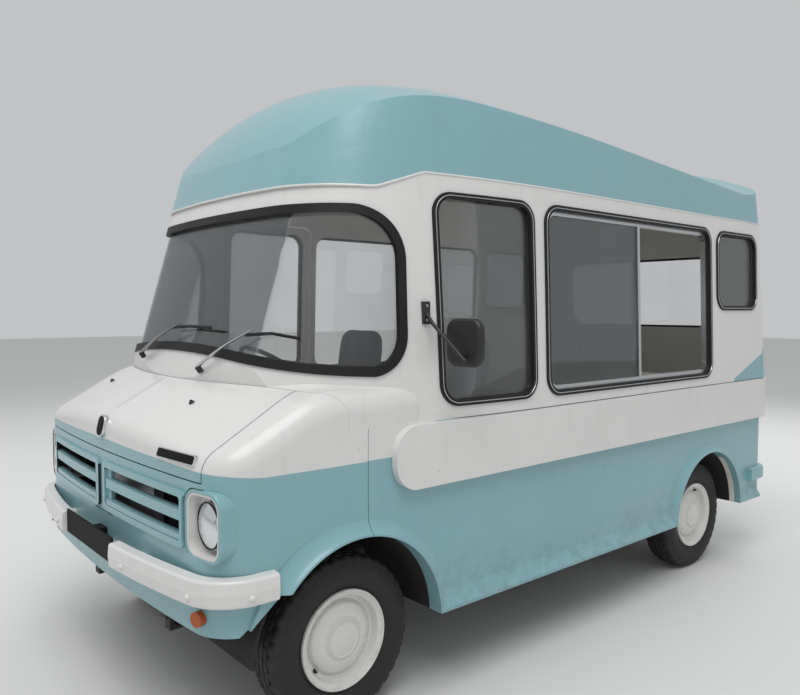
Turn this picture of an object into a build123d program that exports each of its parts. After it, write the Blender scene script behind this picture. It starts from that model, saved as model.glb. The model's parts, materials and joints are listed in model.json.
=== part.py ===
from build123d import *
from math import atan, cos, degrees, radians, sin, sqrt, tan
import os

os.makedirs("parts", exist_ok=True)

# Ice cream truck: a light van's chassis and nose with a coach-built glass-fibre body.
# Millimetres. The nose faces -Y, the kerb (left) side +X, up is +Z, and Z = 0 is the ground.

# Driving dimensions
overall_length = 4210
front_overhang = 690
wheelbase = 2692
tyre_radius = 325
tyre_width = 180
wheel_centre_x = 810
kingpin_x = 735
rim_radius = 178
steer_limit = 33
wall = 40
sheet = 16
gap = 5

front_axle_y = -overall_length / 2 + front_overhang
rear_axle_y = front_axle_y + wheelbase
hub_z = tyre_radius


def fy(distance):
    """Y of a point that lies this far behind the front axle."""
    return front_axle_y + distance


# Body heights
skirt_z = 352
nose_bottom_z = 487
waist_z = 1150
eaves_z = 2165
header_z = 2068
floor_top = 560
floor_thickness = 40

# Body ends and sides, distances in Y from the front axle
lower_half_width = 969
seam_y, seam_gap = 55, 3
body_rear = 3462
body_rear_top = 3400
rear_corner_radius = 80

# Wheel arches: radius, height of the centre and how far the lip stands out
front_arch_radius = 410
rear_arch_radius = 392
arch_centre_z = 340
lip_width = 70
lip_face_x = 1002

# Raised band along the waist
band_face_x = 1004
band_front = 168
band_bottom_z = 890
band_top_z = 1146
band_corner_radius = 110

# Plan outlines: arcs of (radius, degrees of turn) from the centre of the front round to the side.
# One more arc brings the outline to its half width, running straight back.
cab_arcs = [(4000, 6.8), (440, 54.2), (700, 18)]
nose_arcs = [(9000, 5.1), (165, 80.3)]
nose_tuck_radius = 1600
nose_tuck_turn = 14.5
roof_arcs = cab_arcs

# Levels of the upper body: height, front of the outline, scale of the arcs, half width, rear
waist_level = (waist_z, -351, 1.034, 996, body_rear)
eaves_level = (eaves_z, -63, 0.997, 960, body_rear_top)
roof_base_level = (header_z, -100, 1.0, 965, 3408)
roof_top_level = (2780, 98, 0.95, 913, 3350)

# Nose: slope of the bonnet, a point on its centre line and its crown across
nose_front = -605
bonnet_slope = 28.7
bonnet_ref = (-267, 1328)
nose_level_start = -150
nose_crown_radius = 4500
nose_rear = 450
nose_shoulder_radius = 90

# Bonnet shut lines
bonnet_half_front = 850
bonnet_half_rear = 816
bonnet_rear_centre = -308
bonnet_rear_side = -165
bonnet_lip_z = 1015


def outline(level, arcs, inset=0, tuck=0):
    """Closed plan outline at a level, drawn inwards by inset all round.

    With a tuck, the sides turn inwards by so many degrees and the outline ends there.
    """
    z, front, scale, half_width, rear = level
    with BuildSketch(Plane.XY.offset(z)) as plan:
        with BuildLine():
            point = Vector(0, fy(front) + inset)
            heading = 0
            for radius, turn in arcs:
                tangent = (cos(radians(heading)), sin(radians(heading)))
                bend = JernArc(point, tangent, radius * scale - inset, turn)
                point = bend @ 1
                heading += turn
            tangent = (cos(radians(heading)), sin(radians(heading)))
            last_radius = (half_width - inset - point.X) / (1 - sin(radians(heading)))
            bend = JernArc(point, tangent, last_radius, 90 - heading)
            if tuck:
                turned = JernArc(bend @ 1, (0, 1), nose_tuck_radius - inset, tuck)
                Line(turned @ 1, (0, (turned @ 1).Y))
            else:
                side = Line(bend @ 1, (half_width - inset, fy(rear) - rear_corner_radius))
                corner = JernArc(side @ 1, (0, 1), rear_corner_radius - inset, 90)
                Line(corner @ 1, (0, fy(rear) - inset))
            mirror(about=Plane.YZ)
        make_face()
    return plan.sketch


def cab_outline(level, inset):
    return outline(level, cab_arcs, inset)


def upper_body(inset):
    """The cab and body above the waist, as a solid drawn inwards by inset."""
    with BuildPart() as solid:
        loft([cab_outline(waist_level, inset), cab_outline(eaves_level, inset)], ruled=True)
    return solid.part


def rear_box_plan(z, half_width, front, rear, radius):
    """Plan of the straight-sided rear body: square at the front, rounded at the back corners."""
    with BuildSketch(Plane.XY.offset(z)) as plan:
        with BuildLine():
            side = Line((half_width, fy(front)), (half_width, fy(rear) - radius))
            corner = JernArc(side @ 1, (0, 1), radius, 90)
            Line(corner @ 1, (0, fy(rear)))
            Line(side @ 0, (0, fy(front)))
            mirror(about=Plane.YZ)
        make_face()
    return plan.sketch


def lower_body(inset):
    """The body below the waist, from the front seam to the rear."""
    half_width, rear = lower_half_width - inset, body_rear - inset
    front, corner = seam_y - 5 * inset, rear_corner_radius - inset
    plan = rear_box_plan(skirt_z - 2 * inset, half_width, front, rear, corner)
    return extrude(plan, amount=waist_z - skirt_z + 5 * inset, mode=Mode.PRIVATE)


def nose_profile(inset):
    """Side profile of the nose on the centre plane: sloping bonnet, then a level shoulder."""
    slope = tan(radians(bonnet_slope))
    ref_y, ref_z = bonnet_ref
    front = nose_front - 60
    with BuildSketch(Plane.YZ) as profile:
        with BuildLine():
            top_z = ref_z + (nose_level_start - ref_y) * slope - inset
            start = (fy(front), ref_z + (front - ref_y) * slope - inset)
            ridge = (fy(nose_level_start), top_z)
            end = (fy(nose_rear), top_z)
            FilletPolyline(start, ridge, end, radius=450)
            Polyline(end, (fy(nose_rear), nose_bottom_z), (fy(front), nose_bottom_z), start)
        make_face()
    return profile.sketch


def crowned(profile, radius):
    """A side profile carried across the body, dropping towards the sides like a barrel."""
    stations = (-1020, -510, 0, 510, 1020)
    sections = [Pos(x, 0, sqrt(radius**2 - x**2) - radius) * profile for x in stations]
    with BuildPart() as solid:
        loft(sections)
    return solid.part


def nose(inset):
    """The nose and the shoulders beside the cab, with a rounded rim."""
    level = (nose_bottom_z, nose_front, 1, lower_half_width, body_rear)
    plan = outline(level, nose_arcs, inset, nose_tuck_turn)
    crown = crowned(nose_profile(inset), nose_crown_radius)
    with BuildPart() as solid:
        add(plan)
        extrude(amount=1200)
        add(crown, mode=Mode.INTERSECT)
        upper_edges = solid.edges().filter_by(lambda e: e.center().Z > 1050)
        rim = upper_edges.filter_by(lambda e: e.center().Y < fy(nose_rear) - 5)
        fillet(rim, nose_shoulder_radius - inset)
    return solid.part


# Roof: barrel radius across, peak, and the profile on the centre plane as (distance in Y, height)
roof_barrel_radius = 2100
roof_foot_y = -168
roof_brow = (-28, 2300)
roof_shoulder = (440, 2668)
roof_shoulder_radius = 1500
roof_back_radius = 13500
roof_back_turn = 3.8
roof_dip_y = 3100
roof_tail = (3360, 2606)
eaves_line = [(-400, 2106), (205, 2092), (412, eaves_z), (3800, eaves_z)]

# Windows, at the outside of their seals: start, end (distances in Y), bottom, top
windows = {
    "cab": (440, 1020, 1198, 2093),
    "serving": (1090, 2680, 1195, 2093),
    "quarter": (2745, 3290, 1598, 2087),
}
window_corner = 95
seal_width = 14
seal_proud = 8
glass_thickness = 6
glass_inset = 12
rear_window_half, rear_window_bottom, rear_window_top = 610, 1460, 1990
windscreen_bottom_centre, windscreen_bottom_drop = 1420, 100
windscreen_top_centre, windscreen_top_drop = 2034, 22
windscreen_end_bottom, windscreen_end_top = (287, 1337), (309, 2022)
windscreen_bottom_corner, windscreen_top_corner = 170, 215

# Driver's door, on the right: front and rear edge, bottom and top
door_front, door_rear, door_bottom, door_top = 415, 1052, 430, 2125
door_rear_gap = 12

# Headlamps and the grille between them
lamp_x, lamp_y, lamp_z, lamp_radius = 842, -536, 865, 82
bezel_x, bezel_y, bezel_turn = 840, -562, 9
bezel_half_width, bezel_half_height, bezel_corner = 93, 112, 52
grille_half, grille_bottom, grille_top = 850, 752, 1010


def roof_profile():
    """Side profile of the roof on the centre plane: brow, peak, long fall and the lip at the tail."""
    low = 2000
    with BuildSketch(Plane.YZ) as profile:
        with BuildLine():
            brow = Vector(fy(roof_brow[0]), roof_brow[1])
            foot = Vector(fy(roof_foot_y), low)
            rise = Line(foot, brow)
            shoulder = Vector(fy(roof_shoulder[0]), roof_shoulder[1])
            front = TangentArc(brow, shoulder, tangent=rise % 1)
            lean = degrees(atan((front % 1).Y / (front % 1).X))
            top = JernArc(front @ 1, front % 1, roof_shoulder_radius, -lean)
            back = JernArc(top @ 1, (1, 0), roof_back_radius, -roof_back_turn)
            run = fy(roof_dip_y) - (back @ 1).X
            dip = (fy(roof_dip_y), (back @ 1).Y - run * tan(radians(roof_back_turn)))
            fall = Line(back @ 1, dip)
            tail = TangentArc(dip, (fy(roof_tail[0]), roof_tail[1]), tangent=fall % 1)
            end = (fy(roof_tail[0]) + 200, (tail @ 1).Y)
            Polyline(tail @ 1, end, (end[0], low), foot)
        make_face()
    return profile.sketch


def roof_block(inset):
    """The whole roof as a solid drawn inwards by inset, down to the header."""
    barrel = Pos(0, inset / 2, -inset) * crowned(roof_profile(), roof_barrel_radius)
    levels = [outline(level, roof_arcs, inset) for level in (roof_base_level, roof_top_level)]
    with BuildPart() as solid:
        loft(levels, ruled=True)
        add(barrel, mode=Mode.INTERSECT)
    return solid.part


def under_eaves():
    """Everything below the line where the roof moulding meets the body."""
    points = [(fy(y), z) for y, z in eaves_line]
    with BuildSketch(Plane.YZ.offset(-1200)) as side:
        with BuildLine():
            FilletPolyline(*points, radius=120)
            Polyline(points[-1], (points[-1][0], -100), (points[0][0], -100), points[0])
        make_face()
    return extrude(side.sketch, amount=2400, mode=Mode.PRIVATE)


def side_prism(start, end, bottom, top, corner, grow=0):
    """A rounded window or door shape on the side plane, right across the body."""
    with BuildSketch(Plane.YZ.offset(-1300)) as shape:
        with Locations((fy((start + end) / 2), (bottom + top) / 2)):
            RectangleRounded(end - start + 2 * grow, top - bottom + 2 * grow, corner + grow)
    return extrude(shape.sketch, amount=2600, mode=Mode.PRIVATE)


def windscreen_prism(grow=0):
    """The windscreen's outline: its top and bottom seen from the front, its rounded ends from the side."""
    reach = 1000
    low, high = windscreen_bottom_centre - grow, windscreen_top_centre + grow
    with BuildSketch(Plane.XZ.offset(-fy(420))) as front:
        with BuildLine():
            low_side, high_side = low - windscreen_bottom_drop, high - windscreen_top_drop
            bottom = ThreePointArc((-reach, low_side), (0, low), (reach, low_side))
            top = ThreePointArc((reach, high_side), (0, high), (-reach, high_side))
            Line(bottom @ 1, top @ 0)
            Line(top @ 1, bottom @ 0)
        make_face()
    (low_y, low_z), (high_y, high_z) = windscreen_end_bottom, windscreen_end_top
    low_end, high_end = (fy(low_y) + grow, low_z - grow), (fy(high_y) + grow, high_z + grow)
    with BuildSketch(Plane.YZ.offset(-reach)) as side:
        with BuildLine():
            Polyline((fy(-900), low_end[1]), low_end, high_end, (fy(-900), high_end[1]), close=True)
        make_face()
        fillet(side.vertices().sort_by_distance(low_end)[0], windscreen_bottom_corner + grow)
        fillet(side.vertices().sort_by_distance(high_end)[0], windscreen_top_corner + grow)
    across = extrude(front.sketch, amount=1300, mode=Mode.PRIVATE)
    return across & extrude(side.sketch, amount=2 * reach, mode=Mode.PRIVATE)


def rear_prism(grow=0):
    """The rear window's outline, run through the back of the body."""
    with BuildSketch(Plane.XZ.offset(-fy(body_rear + 140))) as shape:
        with Locations((0, (rear_window_bottom + rear_window_top) / 2)):
            RectangleRounded(
                2 * (rear_window_half + grow),
                rear_window_top - rear_window_bottom + 2 * grow,
                window_corner + grow,
            )
    return extrude(shape.sketch, amount=340, mode=Mode.PRIVATE)


def block(x_range, y_range, z_range):
    """A box between two distances on each axis, with Y counted from the front axle."""
    (x0, x1), (y0, y1), (z0, z1) = x_range, y_range, z_range
    centre = ((x0 + x1) / 2, fy((y0 + y1) / 2), (z0 + z1) / 2)
    return Pos(*centre) * Box(x1 - x0, y1 - y0, z1 - z0, mode=Mode.PRIVATE)


def arch_cutter(axle_y, radius, reach=1300):
    """The round opening of a pair of wheel arches."""
    return Pos(0, axle_y, arch_centre_z) * Rot(0, 90, 0) * Cylinder(radius, 2 * reach, mode=Mode.PRIVATE)


def arch_lips(axle_y, radius):
    """The flared lip round each arch, swept round the wheel."""
    panel = lower_half_width - 20
    with BuildSketch(Plane.XZ) as section:
        with BuildLine():
            inner = (panel - 20, radius - 20)
            foot = (lip_face_x, radius - 20)
            lip = (lip_face_x, radius + 8)
            panel_point = (lower_half_width - 3, radius + lip_width)
            bell = TangentArc(panel_point, lip, tangent=(0.15, -1))
            Polyline(bell @ 1, foot, inner, (panel - 20, radius + lip_width), panel_point)
        make_face()
    with BuildPart() as lip_ring:
        add(section.sketch)
        revolve(axis=Axis.X)
    ring = Pos(0, axle_y, arch_centre_z) * lip_ring.part
    return [ring, mirror(ring, about=Plane.YZ, mode=Mode.PRIVATE)]


def skirt_lips():
    """The flared foot along the skirts."""
    panel = lower_half_width - 20
    with BuildSketch(Plane.XZ) as section:
        with BuildLine():
            foot = (lip_face_x, skirt_z)
            lip = (lip_face_x, skirt_z + 14)
            panel_point = (lower_half_width - 3, skirt_z + lip_width + 20)
            bell = TangentArc(panel_point, lip, tangent=(0.15, -1))
            Polyline(bell @ 1, foot, (panel - 20, skirt_z), (panel - 20, skirt_z + 90), panel_point)
        make_face()
    strip = Pos(0, fy(3380), 0) * extrude(section.sketch, amount=3380 - 330, mode=Mode.PRIVATE)
    return [strip, mirror(strip, about=Plane.YZ, mode=Mode.PRIVATE)]


def band():
    """The raised band round the waist, with its rounded front ends."""
    grow = band_face_x - lower_half_width
    plan = rear_box_plan(band_bottom_z - 50, band_face_x, -300, body_rear + grow, rear_corner_radius + grow)
    length = body_rear + 400 - band_front
    with BuildSketch(Plane.YZ.offset(-1300)) as side:
        with Locations((fy(band_front + length / 2), (band_bottom_z + band_top_z) / 2)):
            RectangleRounded(length, band_top_z - band_bottom_z, band_corner_radius)
    ring = extrude(plan, amount=400, mode=Mode.PRIVATE)
    from_the_side = extrude(side.sketch, amount=2600, mode=Mode.PRIVATE)
    return (ring & from_the_side) - block((-950, 950), (-600, body_rear - 20), (0, 2000))


front_arch = arch_cutter(front_axle_y, front_arch_radius)
rear_arch = arch_cutter(rear_axle_y, rear_arch_radius)
below_skirt = block((-1300, 1300), (-900, 3900), (0, skirt_z))
# Moulding above the waist: front, sides and back in one loop, windows cut later
frame_depth = 30
pane_depths = [(17, 22), (29, 34)]
depths = [-seal_proud, 0, glass_inset, glass_inset + glass_thickness, glass_inset + frame_depth, wall]
depths += [depth for pair in pane_depths for depth in pair]
skins = {depth: upper_body(depth) for depth in depths}
with BuildPart() as upper_shell:
    add(skins[0])
    add(skins[wall], mode=Mode.SUBTRACT)

# Moulding below the waist, with its arches, flared lips and raised band
with BuildPart() as lower_shell:
    add(lower_body(0))
    add(lower_body(wall), mode=Mode.SUBTRACT)


def front_of_seam():
    """Plan region ahead of the line where the bonnet and wings meet the cab."""
    corner = (bonnet_half_rear, fy(bonnet_rear_side))
    with BuildSketch(Plane.XY.offset(nose_bottom_z - 10)) as plan:
        with BuildLine():
            shut = ThreePointArc((-corner[0], corner[1]), (0, fy(bonnet_rear_centre)), corner)
            turn = TangentArc(corner, (lower_half_width + 30, fy(seam_y)), tangent=shut % 1)
            other_turn = mirror(turn, about=Plane.YZ)
            side, front, back = 1100, fy(-900), fy(seam_y)
            Polyline(turn @ 1, (side, back), (side, front), (-side, front), (-side, back), other_turn @ 1)
        make_face()
    return extrude(plan.sketch, amount=1100, mode=Mode.PRIVATE)


def bonnet_plan(grow=0):
    """Plan region of the bonnet inside its shut lines, drawn outwards by grow."""
    back = 2 * grow - gap
    corner = (bonnet_half_rear - gap + grow, fy(bonnet_rear_side) + back)
    front = (bonnet_half_front - gap + grow, fy(-700))
    with BuildSketch(Plane.XY.offset(bonnet_lip_z - grow)) as plan:
        with BuildLine():
            ThreePointArc((-corner[0], corner[1]), (0, fy(bonnet_rear_centre) + back), corner)
            Polyline(corner, front, (-front[0], front[1]), (-corner[0], corner[1]))
        make_face()
    return extrude(plan.sketch, amount=600, mode=Mode.PRIVATE)


def window_hole(name, grow=0):
    start, end, bottom, top = windows[name]
    return side_prism(start, end, bottom, top, window_corner, grow)


def bezel_face(depth):
    """Plane of the left headlamp's surround, this far behind its front."""
    turn = radians(bezel_turn)
    centre = (bezel_x, fy(bezel_y), lamp_z)
    across, ahead = (cos(turn), sin(turn), 0), (sin(turn), -cos(turn), 0)
    return Plane(origin=centre, x_dir=across, z_dir=ahead).offset(-depth)


def bezel_prism(grow, front, back):
    """The rounded square of the left headlamp's surround, from in front of its face to behind it."""
    with BuildSketch(bezel_face(back)) as shape:
        RectangleRounded(
            2 * (bezel_half_width + grow), 2 * (bezel_half_height + grow), bezel_corner + grow
        )
    return extrude(shape.sketch, amount=back + front, mode=Mode.PRIVATE)


def both_sides(solid):
    """A left-hand solid and its mirror image on the right."""
    return [solid, mirror(solid, about=Plane.YZ, mode=Mode.PRIVATE)]


def rod(start, end, radius):
    """A round bar between two points, with Y counted from the front axle."""
    start, end = Vector(start[0], fy(start[1]), start[2]), Vector(end[0], fy(end[1]), end[2])
    with BuildSketch(Plane(origin=start, z_dir=end - start)) as section:
        Circle(radius)
    return extrude(section.sketch, amount=(end - start).length, mode=Mode.PRIVATE)


def strap(start, end, across, width, thickness):
    """A flat bar between two points, its width along the direction across."""
    start, end = Vector(start[0], fy(start[1]), start[2]), Vector(end[0], fy(end[1]), end[2])
    along = end - start
    side = Vector(*across) - along * (Vector(*across).dot(along) / along.dot(along))
    with BuildSketch(Plane(origin=start, x_dir=side, z_dir=along)) as section:
        Rectangle(width, thickness)
    return extrude(section.sketch, amount=along.length, mode=Mode.PRIVATE)


def save(piece, name):
    """Label a finished piece and write it."""
    piece.part.label = name
    export_step(piece.part, f"parts/{name}.step")


cab_front_y = 340
rear_panel_y = body_rear - 92
sides = {"left": (100, 1300), "right": (-1300, -100)}
side_windows = [window_hole(name, -seal_width) for name in windows]
door_shape = side_prism(door_front, door_rear, door_bottom, door_top, 60)
door_opening = side_prism(door_front - gap, door_rear + door_rear_gap, door_bottom - gap, door_top + gap, 60)
seam_region = front_of_seam()
eaves_region = under_eaves()
waistband = band()

# Flared lips of the arches and skirts
with BuildPart() as body_lips:
    add(arch_lips(front_axle_y, front_arch_radius) + arch_lips(rear_axle_y, rear_arch_radius) + skirt_lips())
    add([front_arch, rear_arch], mode=Mode.SUBTRACT)
    add(block((-1300, 1300), (seam_y, rear_panel_y), (skirt_z, 1400)), mode=Mode.INTERSECT)

# Shoulders: the nose's surface carried back over the cab's sides
shoulders = (nose(0) - nose(wall)) & block((-1300, 1300), (-600, cab_front_y), (waist_z, 2000))
shoulders -= skins[wall]

# Sides: an upper and a lower moulding each, joined under the raised band, with the driver's door
door_parts = []
for side, x_range in sides.items():
    half_lips = [lip for lip in body_lips.part.solids() if lip.center().X * sum(x_range) > 0]
    with BuildPart() as upper_side:
        add(upper_shell.part)
        add(block(x_range, (cab_front_y, rear_panel_y), (900, 2400)), mode=Mode.INTERSECT)
        add(side_windows, mode=Mode.SUBTRACT)
        add(eaves_region, mode=Mode.INTERSECT)
    with BuildPart() as lower_side:
        add(lower_shell.part)
        add(block(x_range, (-600, rear_panel_y), (-100, 1400)), mode=Mode.INTERSECT)
        add([front_arch, rear_arch], mode=Mode.SUBTRACT)
        add(half_lips)
        add(waistband & block(x_range, (-600, rear_panel_y), (0, 1400)))
    if side == "right":
        door_parts = [upper_side.part & door_shape, lower_side.part & door_shape]
        upper_side.part -= door_opening
        lower_side.part -= door_opening
    save(upper_side, f"{side}_upper_side")
    save(lower_side, f"{side}_lower_side")

# Hinge barrels stand off the door's front edge on short leaves
hinge_x, hinge_y, hinge_heights = -1006, 412.5, (740, 1340)
with BuildPart() as door_hinges:
    for z in hinge_heights:
        add(Pos(hinge_x, fy(hinge_y), z) * Cylinder(8, 70, mode=Mode.PRIVATE))
        add(block((hinge_x - 4, -950), (416, 436), (z - 30, z + 30)))
    add([lower_body(0), skins[0]], mode=Mode.SUBTRACT)

with BuildPart() as driver_door:
    add(door_parts)
    add(door_hinges.part)
save(driver_door, "driver_door")

with BuildPart() as rear_panel:
    add(upper_shell.part)
    add(lower_shell.part)
    add(waistband)
    add(block((-1300, 1300), (rear_panel_y, 4300), (-100, 2400)), mode=Mode.INTERSECT)
    add(rear_prism(-seal_width), mode=Mode.SUBTRACT)
save(rear_panel, "rear_panel")

# Cab front: scuttle, pillars and header in one
with BuildPart() as windscreen_surround:
    add(upper_shell.part)
    add(shoulders)
    add(block((-1300, 1300), (-700, cab_front_y), (900, 2400)), mode=Mode.INTERSECT)
    add(seam_region, mode=Mode.SUBTRACT)
    add(windscreen_prism(-seal_width), mode=Mode.SUBTRACT)
    add(eaves_region, mode=Mode.INTERSECT)
save(windscreen_surround, "windscreen_surround")

with BuildPart() as roof:
    add(roof_block(0))
    add(roof_block(wall), mode=Mode.SUBTRACT)
    add(eaves_region, mode=Mode.SUBTRACT)
save(roof, "roof")

# Nose: thinner sheet than the body
nose_skin = nose(0)
ahead_of_seam = Pos(0, -seam_gap, 0) * seam_region
ahead_of_seam += block((-1300, 1300), (-900, seam_y - seam_gap), (0, waist_z))
with BuildPart() as nose_shell:
    add(nose_skin)
    add(nose(sheet), mode=Mode.SUBTRACT)
    add(front_arch, mode=Mode.SUBTRACT)
    add(ahead_of_seam, mode=Mode.INTERSECT)

with BuildPart() as bonnet:
    add(nose_shell.part)
    add(bonnet_plan(), mode=Mode.INTERSECT)
save(bonnet, "bonnet")

# Headlamp surrounds: the teal flare belongs to the wing and runs back into it; the white dish is a
# piece of its own
flare_width, flare_depth = 13, 130
with BuildPart() as left_flare:
    add(bezel_prism(flare_width, 0, flare_depth))
    front_rim = left_flare.edges().sort_by_distance(bezel_face(0).origin)[0:8]
    fillet(front_rim, 7)
    add(bezel_prism(0, 10, flare_depth + 20), mode=Mode.SUBTRACT)
flares = both_sides(left_flare.part)

with BuildPart() as nose_sides:
    add(nose_shell.part)
    add(bonnet_plan(gap), mode=Mode.SUBTRACT)
    add(both_sides(bezel_prism(0, 60, 160)), mode=Mode.SUBTRACT)

grille_box = block((-grille_half, grille_half), (-900, -430), (grille_bottom + gap, grille_top))
valance_box = block((-grille_half, grille_half), (-900, -430), (0, grille_bottom))
with BuildPart() as wing_lips:
    add(arch_lips(front_axle_y, front_arch_radius))
    add(front_arch, mode=Mode.SUBTRACT)
    add(block((-1300, 1300), (-600, seam_y - seam_gap), (nose_bottom_z, 1400)), mode=Mode.INTERSECT)

# The wing's lower corner is cut off between the bumper's end and the chin
with BuildPart() as corner_cut:
    with BuildSketch(Plane.YZ.offset(-1300)):
        with BuildLine():
            low_side = [(fy(-478), 484), (fy(-478), 300), (fy(-200), 300)]
            Polyline((fy(-340), 615), *low_side, (fy(-200), 615), close=True)
        make_face()
    extrude(amount=2600)
for side, x_range in sides.items():
    half_lips = [lip for lip in wing_lips.part.solids() if lip.center().X * sum(x_range) > 0]
    with BuildPart() as wing:
        add(nose_sides.part)
        add(block(x_range, (-900, 200), (0, 2000)), mode=Mode.INTERSECT)
        add([grille_box, valance_box], mode=Mode.SUBTRACT)
        add(half_lips)
        add(corner_cut.part, mode=Mode.SUBTRACT)
        add(flares[list(sides).index(side)])
    save(wing, f"{side}_wing")

with BuildPart() as front_valance:
    add(nose_sides.part)
    add(valance_box, mode=Mode.INTERSECT)
    add(flares, mode=Mode.SUBTRACT)
save(front_valance, "front_valance")

# Grille: two framed panels, each with two slots between rounded blades
# Columns: inner and outer X, bottom and top Z
panel_frame = (25, 742, 768, 972)
frame_width, frame_proud, blade_proud = 24, 12, 9
slots = [(95, 718, 905, 948), (95, 718, 818, 861)]
blades = [(60, 728, 864, 902), (60, 728, 794, 816)]
with BuildPart() as grille:
    add(nose_sides.part)
    add(grille_box, mode=Mode.INTERSECT)
    for x0, x1, z0, z1 in slots:
        add(both_sides(block((x0, x1), (-900, -430), (z0, z1))), mode=Mode.SUBTRACT)
grille_level = (700, nose_front, 1, lower_half_width, body_rear)
front_slab = extrude(outline(grille_level, nose_arcs, -frame_proud), amount=400) - nose_skin
blade_slab = extrude(outline(grille_level, nose_arcs, -blade_proud), amount=400) - nose_skin
with BuildSketch(Plane.XZ.offset(-fy(-480))) as frame_shape:
    x0, x1, z0, z1 = panel_frame
    for half in (1, -1):
        with Locations((half * (x0 + x1) / 2, (z0 + z1) / 2)):
            RectangleRounded(x1 - x0, z1 - z0, 26)
            RectangleRounded(x1 - x0 - 2 * frame_width, z1 - z0 - 2 * frame_width, 12, mode=Mode.SUBTRACT)
frame_bars = extrude(frame_shape.sketch, amount=200) & front_slab
for bar in frame_bars.solids():
    face = bar.faces().sort_by(Axis.Y)[0]
    grille.part += fillet(face.edges(), 5)
for x0, x1, z0, z1 in blades:
    for bar in both_sides(block((x0, x1), (-700, -480), (z0, z1)) & blade_slab):
        grille.part += bar
grille.part -= both_sides(bezel_prism(flare_width + 3, 40, 160))
save(grille, "grille")

with BuildPart() as radiator:
    add(block((-330, 330), (-520, -480), (540, 960)))
save(radiator, "radiator")

dish_depth, dish_wall = 46, 9
with BuildPart() as left_bezel:
    add(bezel_prism(0, -3, dish_depth + 20))
    with BuildSketch(bezel_face(3)):
        RectangleRounded(
            2 * (bezel_half_width - dish_wall), 2 * (bezel_half_height - dish_wall), bezel_corner - dish_wall
        )
    extrude(amount=-dish_depth, taper=12, mode=Mode.SUBTRACT)
    with BuildSketch(Plane.XZ.offset(-fy(-300))):
        with Locations((lamp_x, lamp_z)):
            Circle(lamp_radius)
    extrude(amount=400, mode=Mode.SUBTRACT)
with BuildPart() as headlamp_bezels:
    add(both_sides(left_bezel.part))
save(headlamp_bezels, "headlamp_bezels")

# Headlamps: a bowl behind and a domed lens in front
with BuildPart() as lamp:
    with BuildSketch(Plane.YZ):
        with BuildLine():
            rim, back, bowl = (0, lamp_radius - 1), (70, 0), (30, 66)
            ThreePointArc((-22, 0), (-14, 46), rim)
            Polyline(rim, (6, lamp_radius - 1), bowl, (70, 30), back, (-22, 0))
        make_face()
    revolve(axis=Axis.Y)
with BuildPart() as headlamps:
    add(both_sides(Pos(lamp_x, fy(lamp_y), lamp_z) * lamp.part))
save(headlamps, "headlamps")

# Glass and seals. A seal stands proud of the body and laps over the glass behind it.
seal_lap, screen_seal_lap = 14, 22


def layer(shape, outer_depth, inner_depth):
    """What a shape cuts out of the body's skin between two depths."""
    return (shape & skins[outer_depth]) - skins[inner_depth]


def seal(hole, part_of=None, lap=seal_lap):
    """Rubber seal round a hole whose outline is given by a function of how far it grows."""
    inside = hole(-seal_width - lap)
    proud = layer(hole(0) - inside, -seal_proud, 0)
    leg = (hole(-seal_width) - inside - skins[glass_inset]) & skins[0]
    ring = proud + leg
    return ring if part_of is None else ring & part_of


def pane(hole, part_of=None):
    """Glass that fills a hole to the edges of the body."""
    glass = layer(hole(-seal_width), glass_inset, glass_inset + glass_thickness)
    return glass if part_of is None else glass & part_of


left_half = block((0, 1300), (-700, 3700), (0, 3000))
right_half = block((-1300, 0), (-700, 3700), (0, 3000))


def cab_hole(grow):
    return window_hole("cab", grow)


def serving_hole(grow):
    return window_hole("serving", grow)


def quarter_hole(grow):
    return window_hole("quarter", grow)


with BuildPart() as windscreen:
    add(pane(windscreen_prism))
save(windscreen, "windscreen")

with BuildPart() as body_windows:
    add(pane(cab_hole, left_half))
    add(pane(quarter_hole))
    add(pane(serving_hole, right_half))
    add(pane(rear_prism))
save(body_windows, "body_windows")

with BuildPart() as window_seals:
    add(seal(windscreen_prism, lap=screen_seal_lap))
    add(seal(cab_hole, left_half))
    add(seal(quarter_hole))
    add(seal(serving_hole))
    add(seal(rear_prism))
save(window_seals, "window_seals")

with BuildPart() as door_window:
    add(pane(cab_hole, right_half))
save(door_window, "door_window")

with BuildPart() as door_seal:
    add(seal(cab_hole, right_half))
save(door_seal, "door_seal")

# Serving hatch: a bright frame, and two panes slid together over the front half
hatch_divider, frame_bar = 1907, 20
start, end, bottom, top = windows["serving"]
inner = seal_width + seal_lap + frame_bar
post = block((850, 1050), (hatch_divider - 11, hatch_divider + 11), (bottom + inner, top - inner))
hatch_ring = (serving_hole(-seal_width) - serving_hole(-inner)) & left_half
with BuildPart() as serving_frame:
    add(layer(hatch_ring, glass_inset, glass_inset + frame_depth))
    add(layer(post, glass_inset, glass_inset + frame_depth))
save(serving_frame, "serving_frame")

reach = serving_hole(-inner) & block((800, 1050), (start, hatch_divider - 11), (bottom, top))
with BuildPart() as serving_panes:
    for outer_depth, inner_depth in pane_depths:
        add(layer(reach, outer_depth, inner_depth))
save(serving_panes, "serving_panes")

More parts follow.
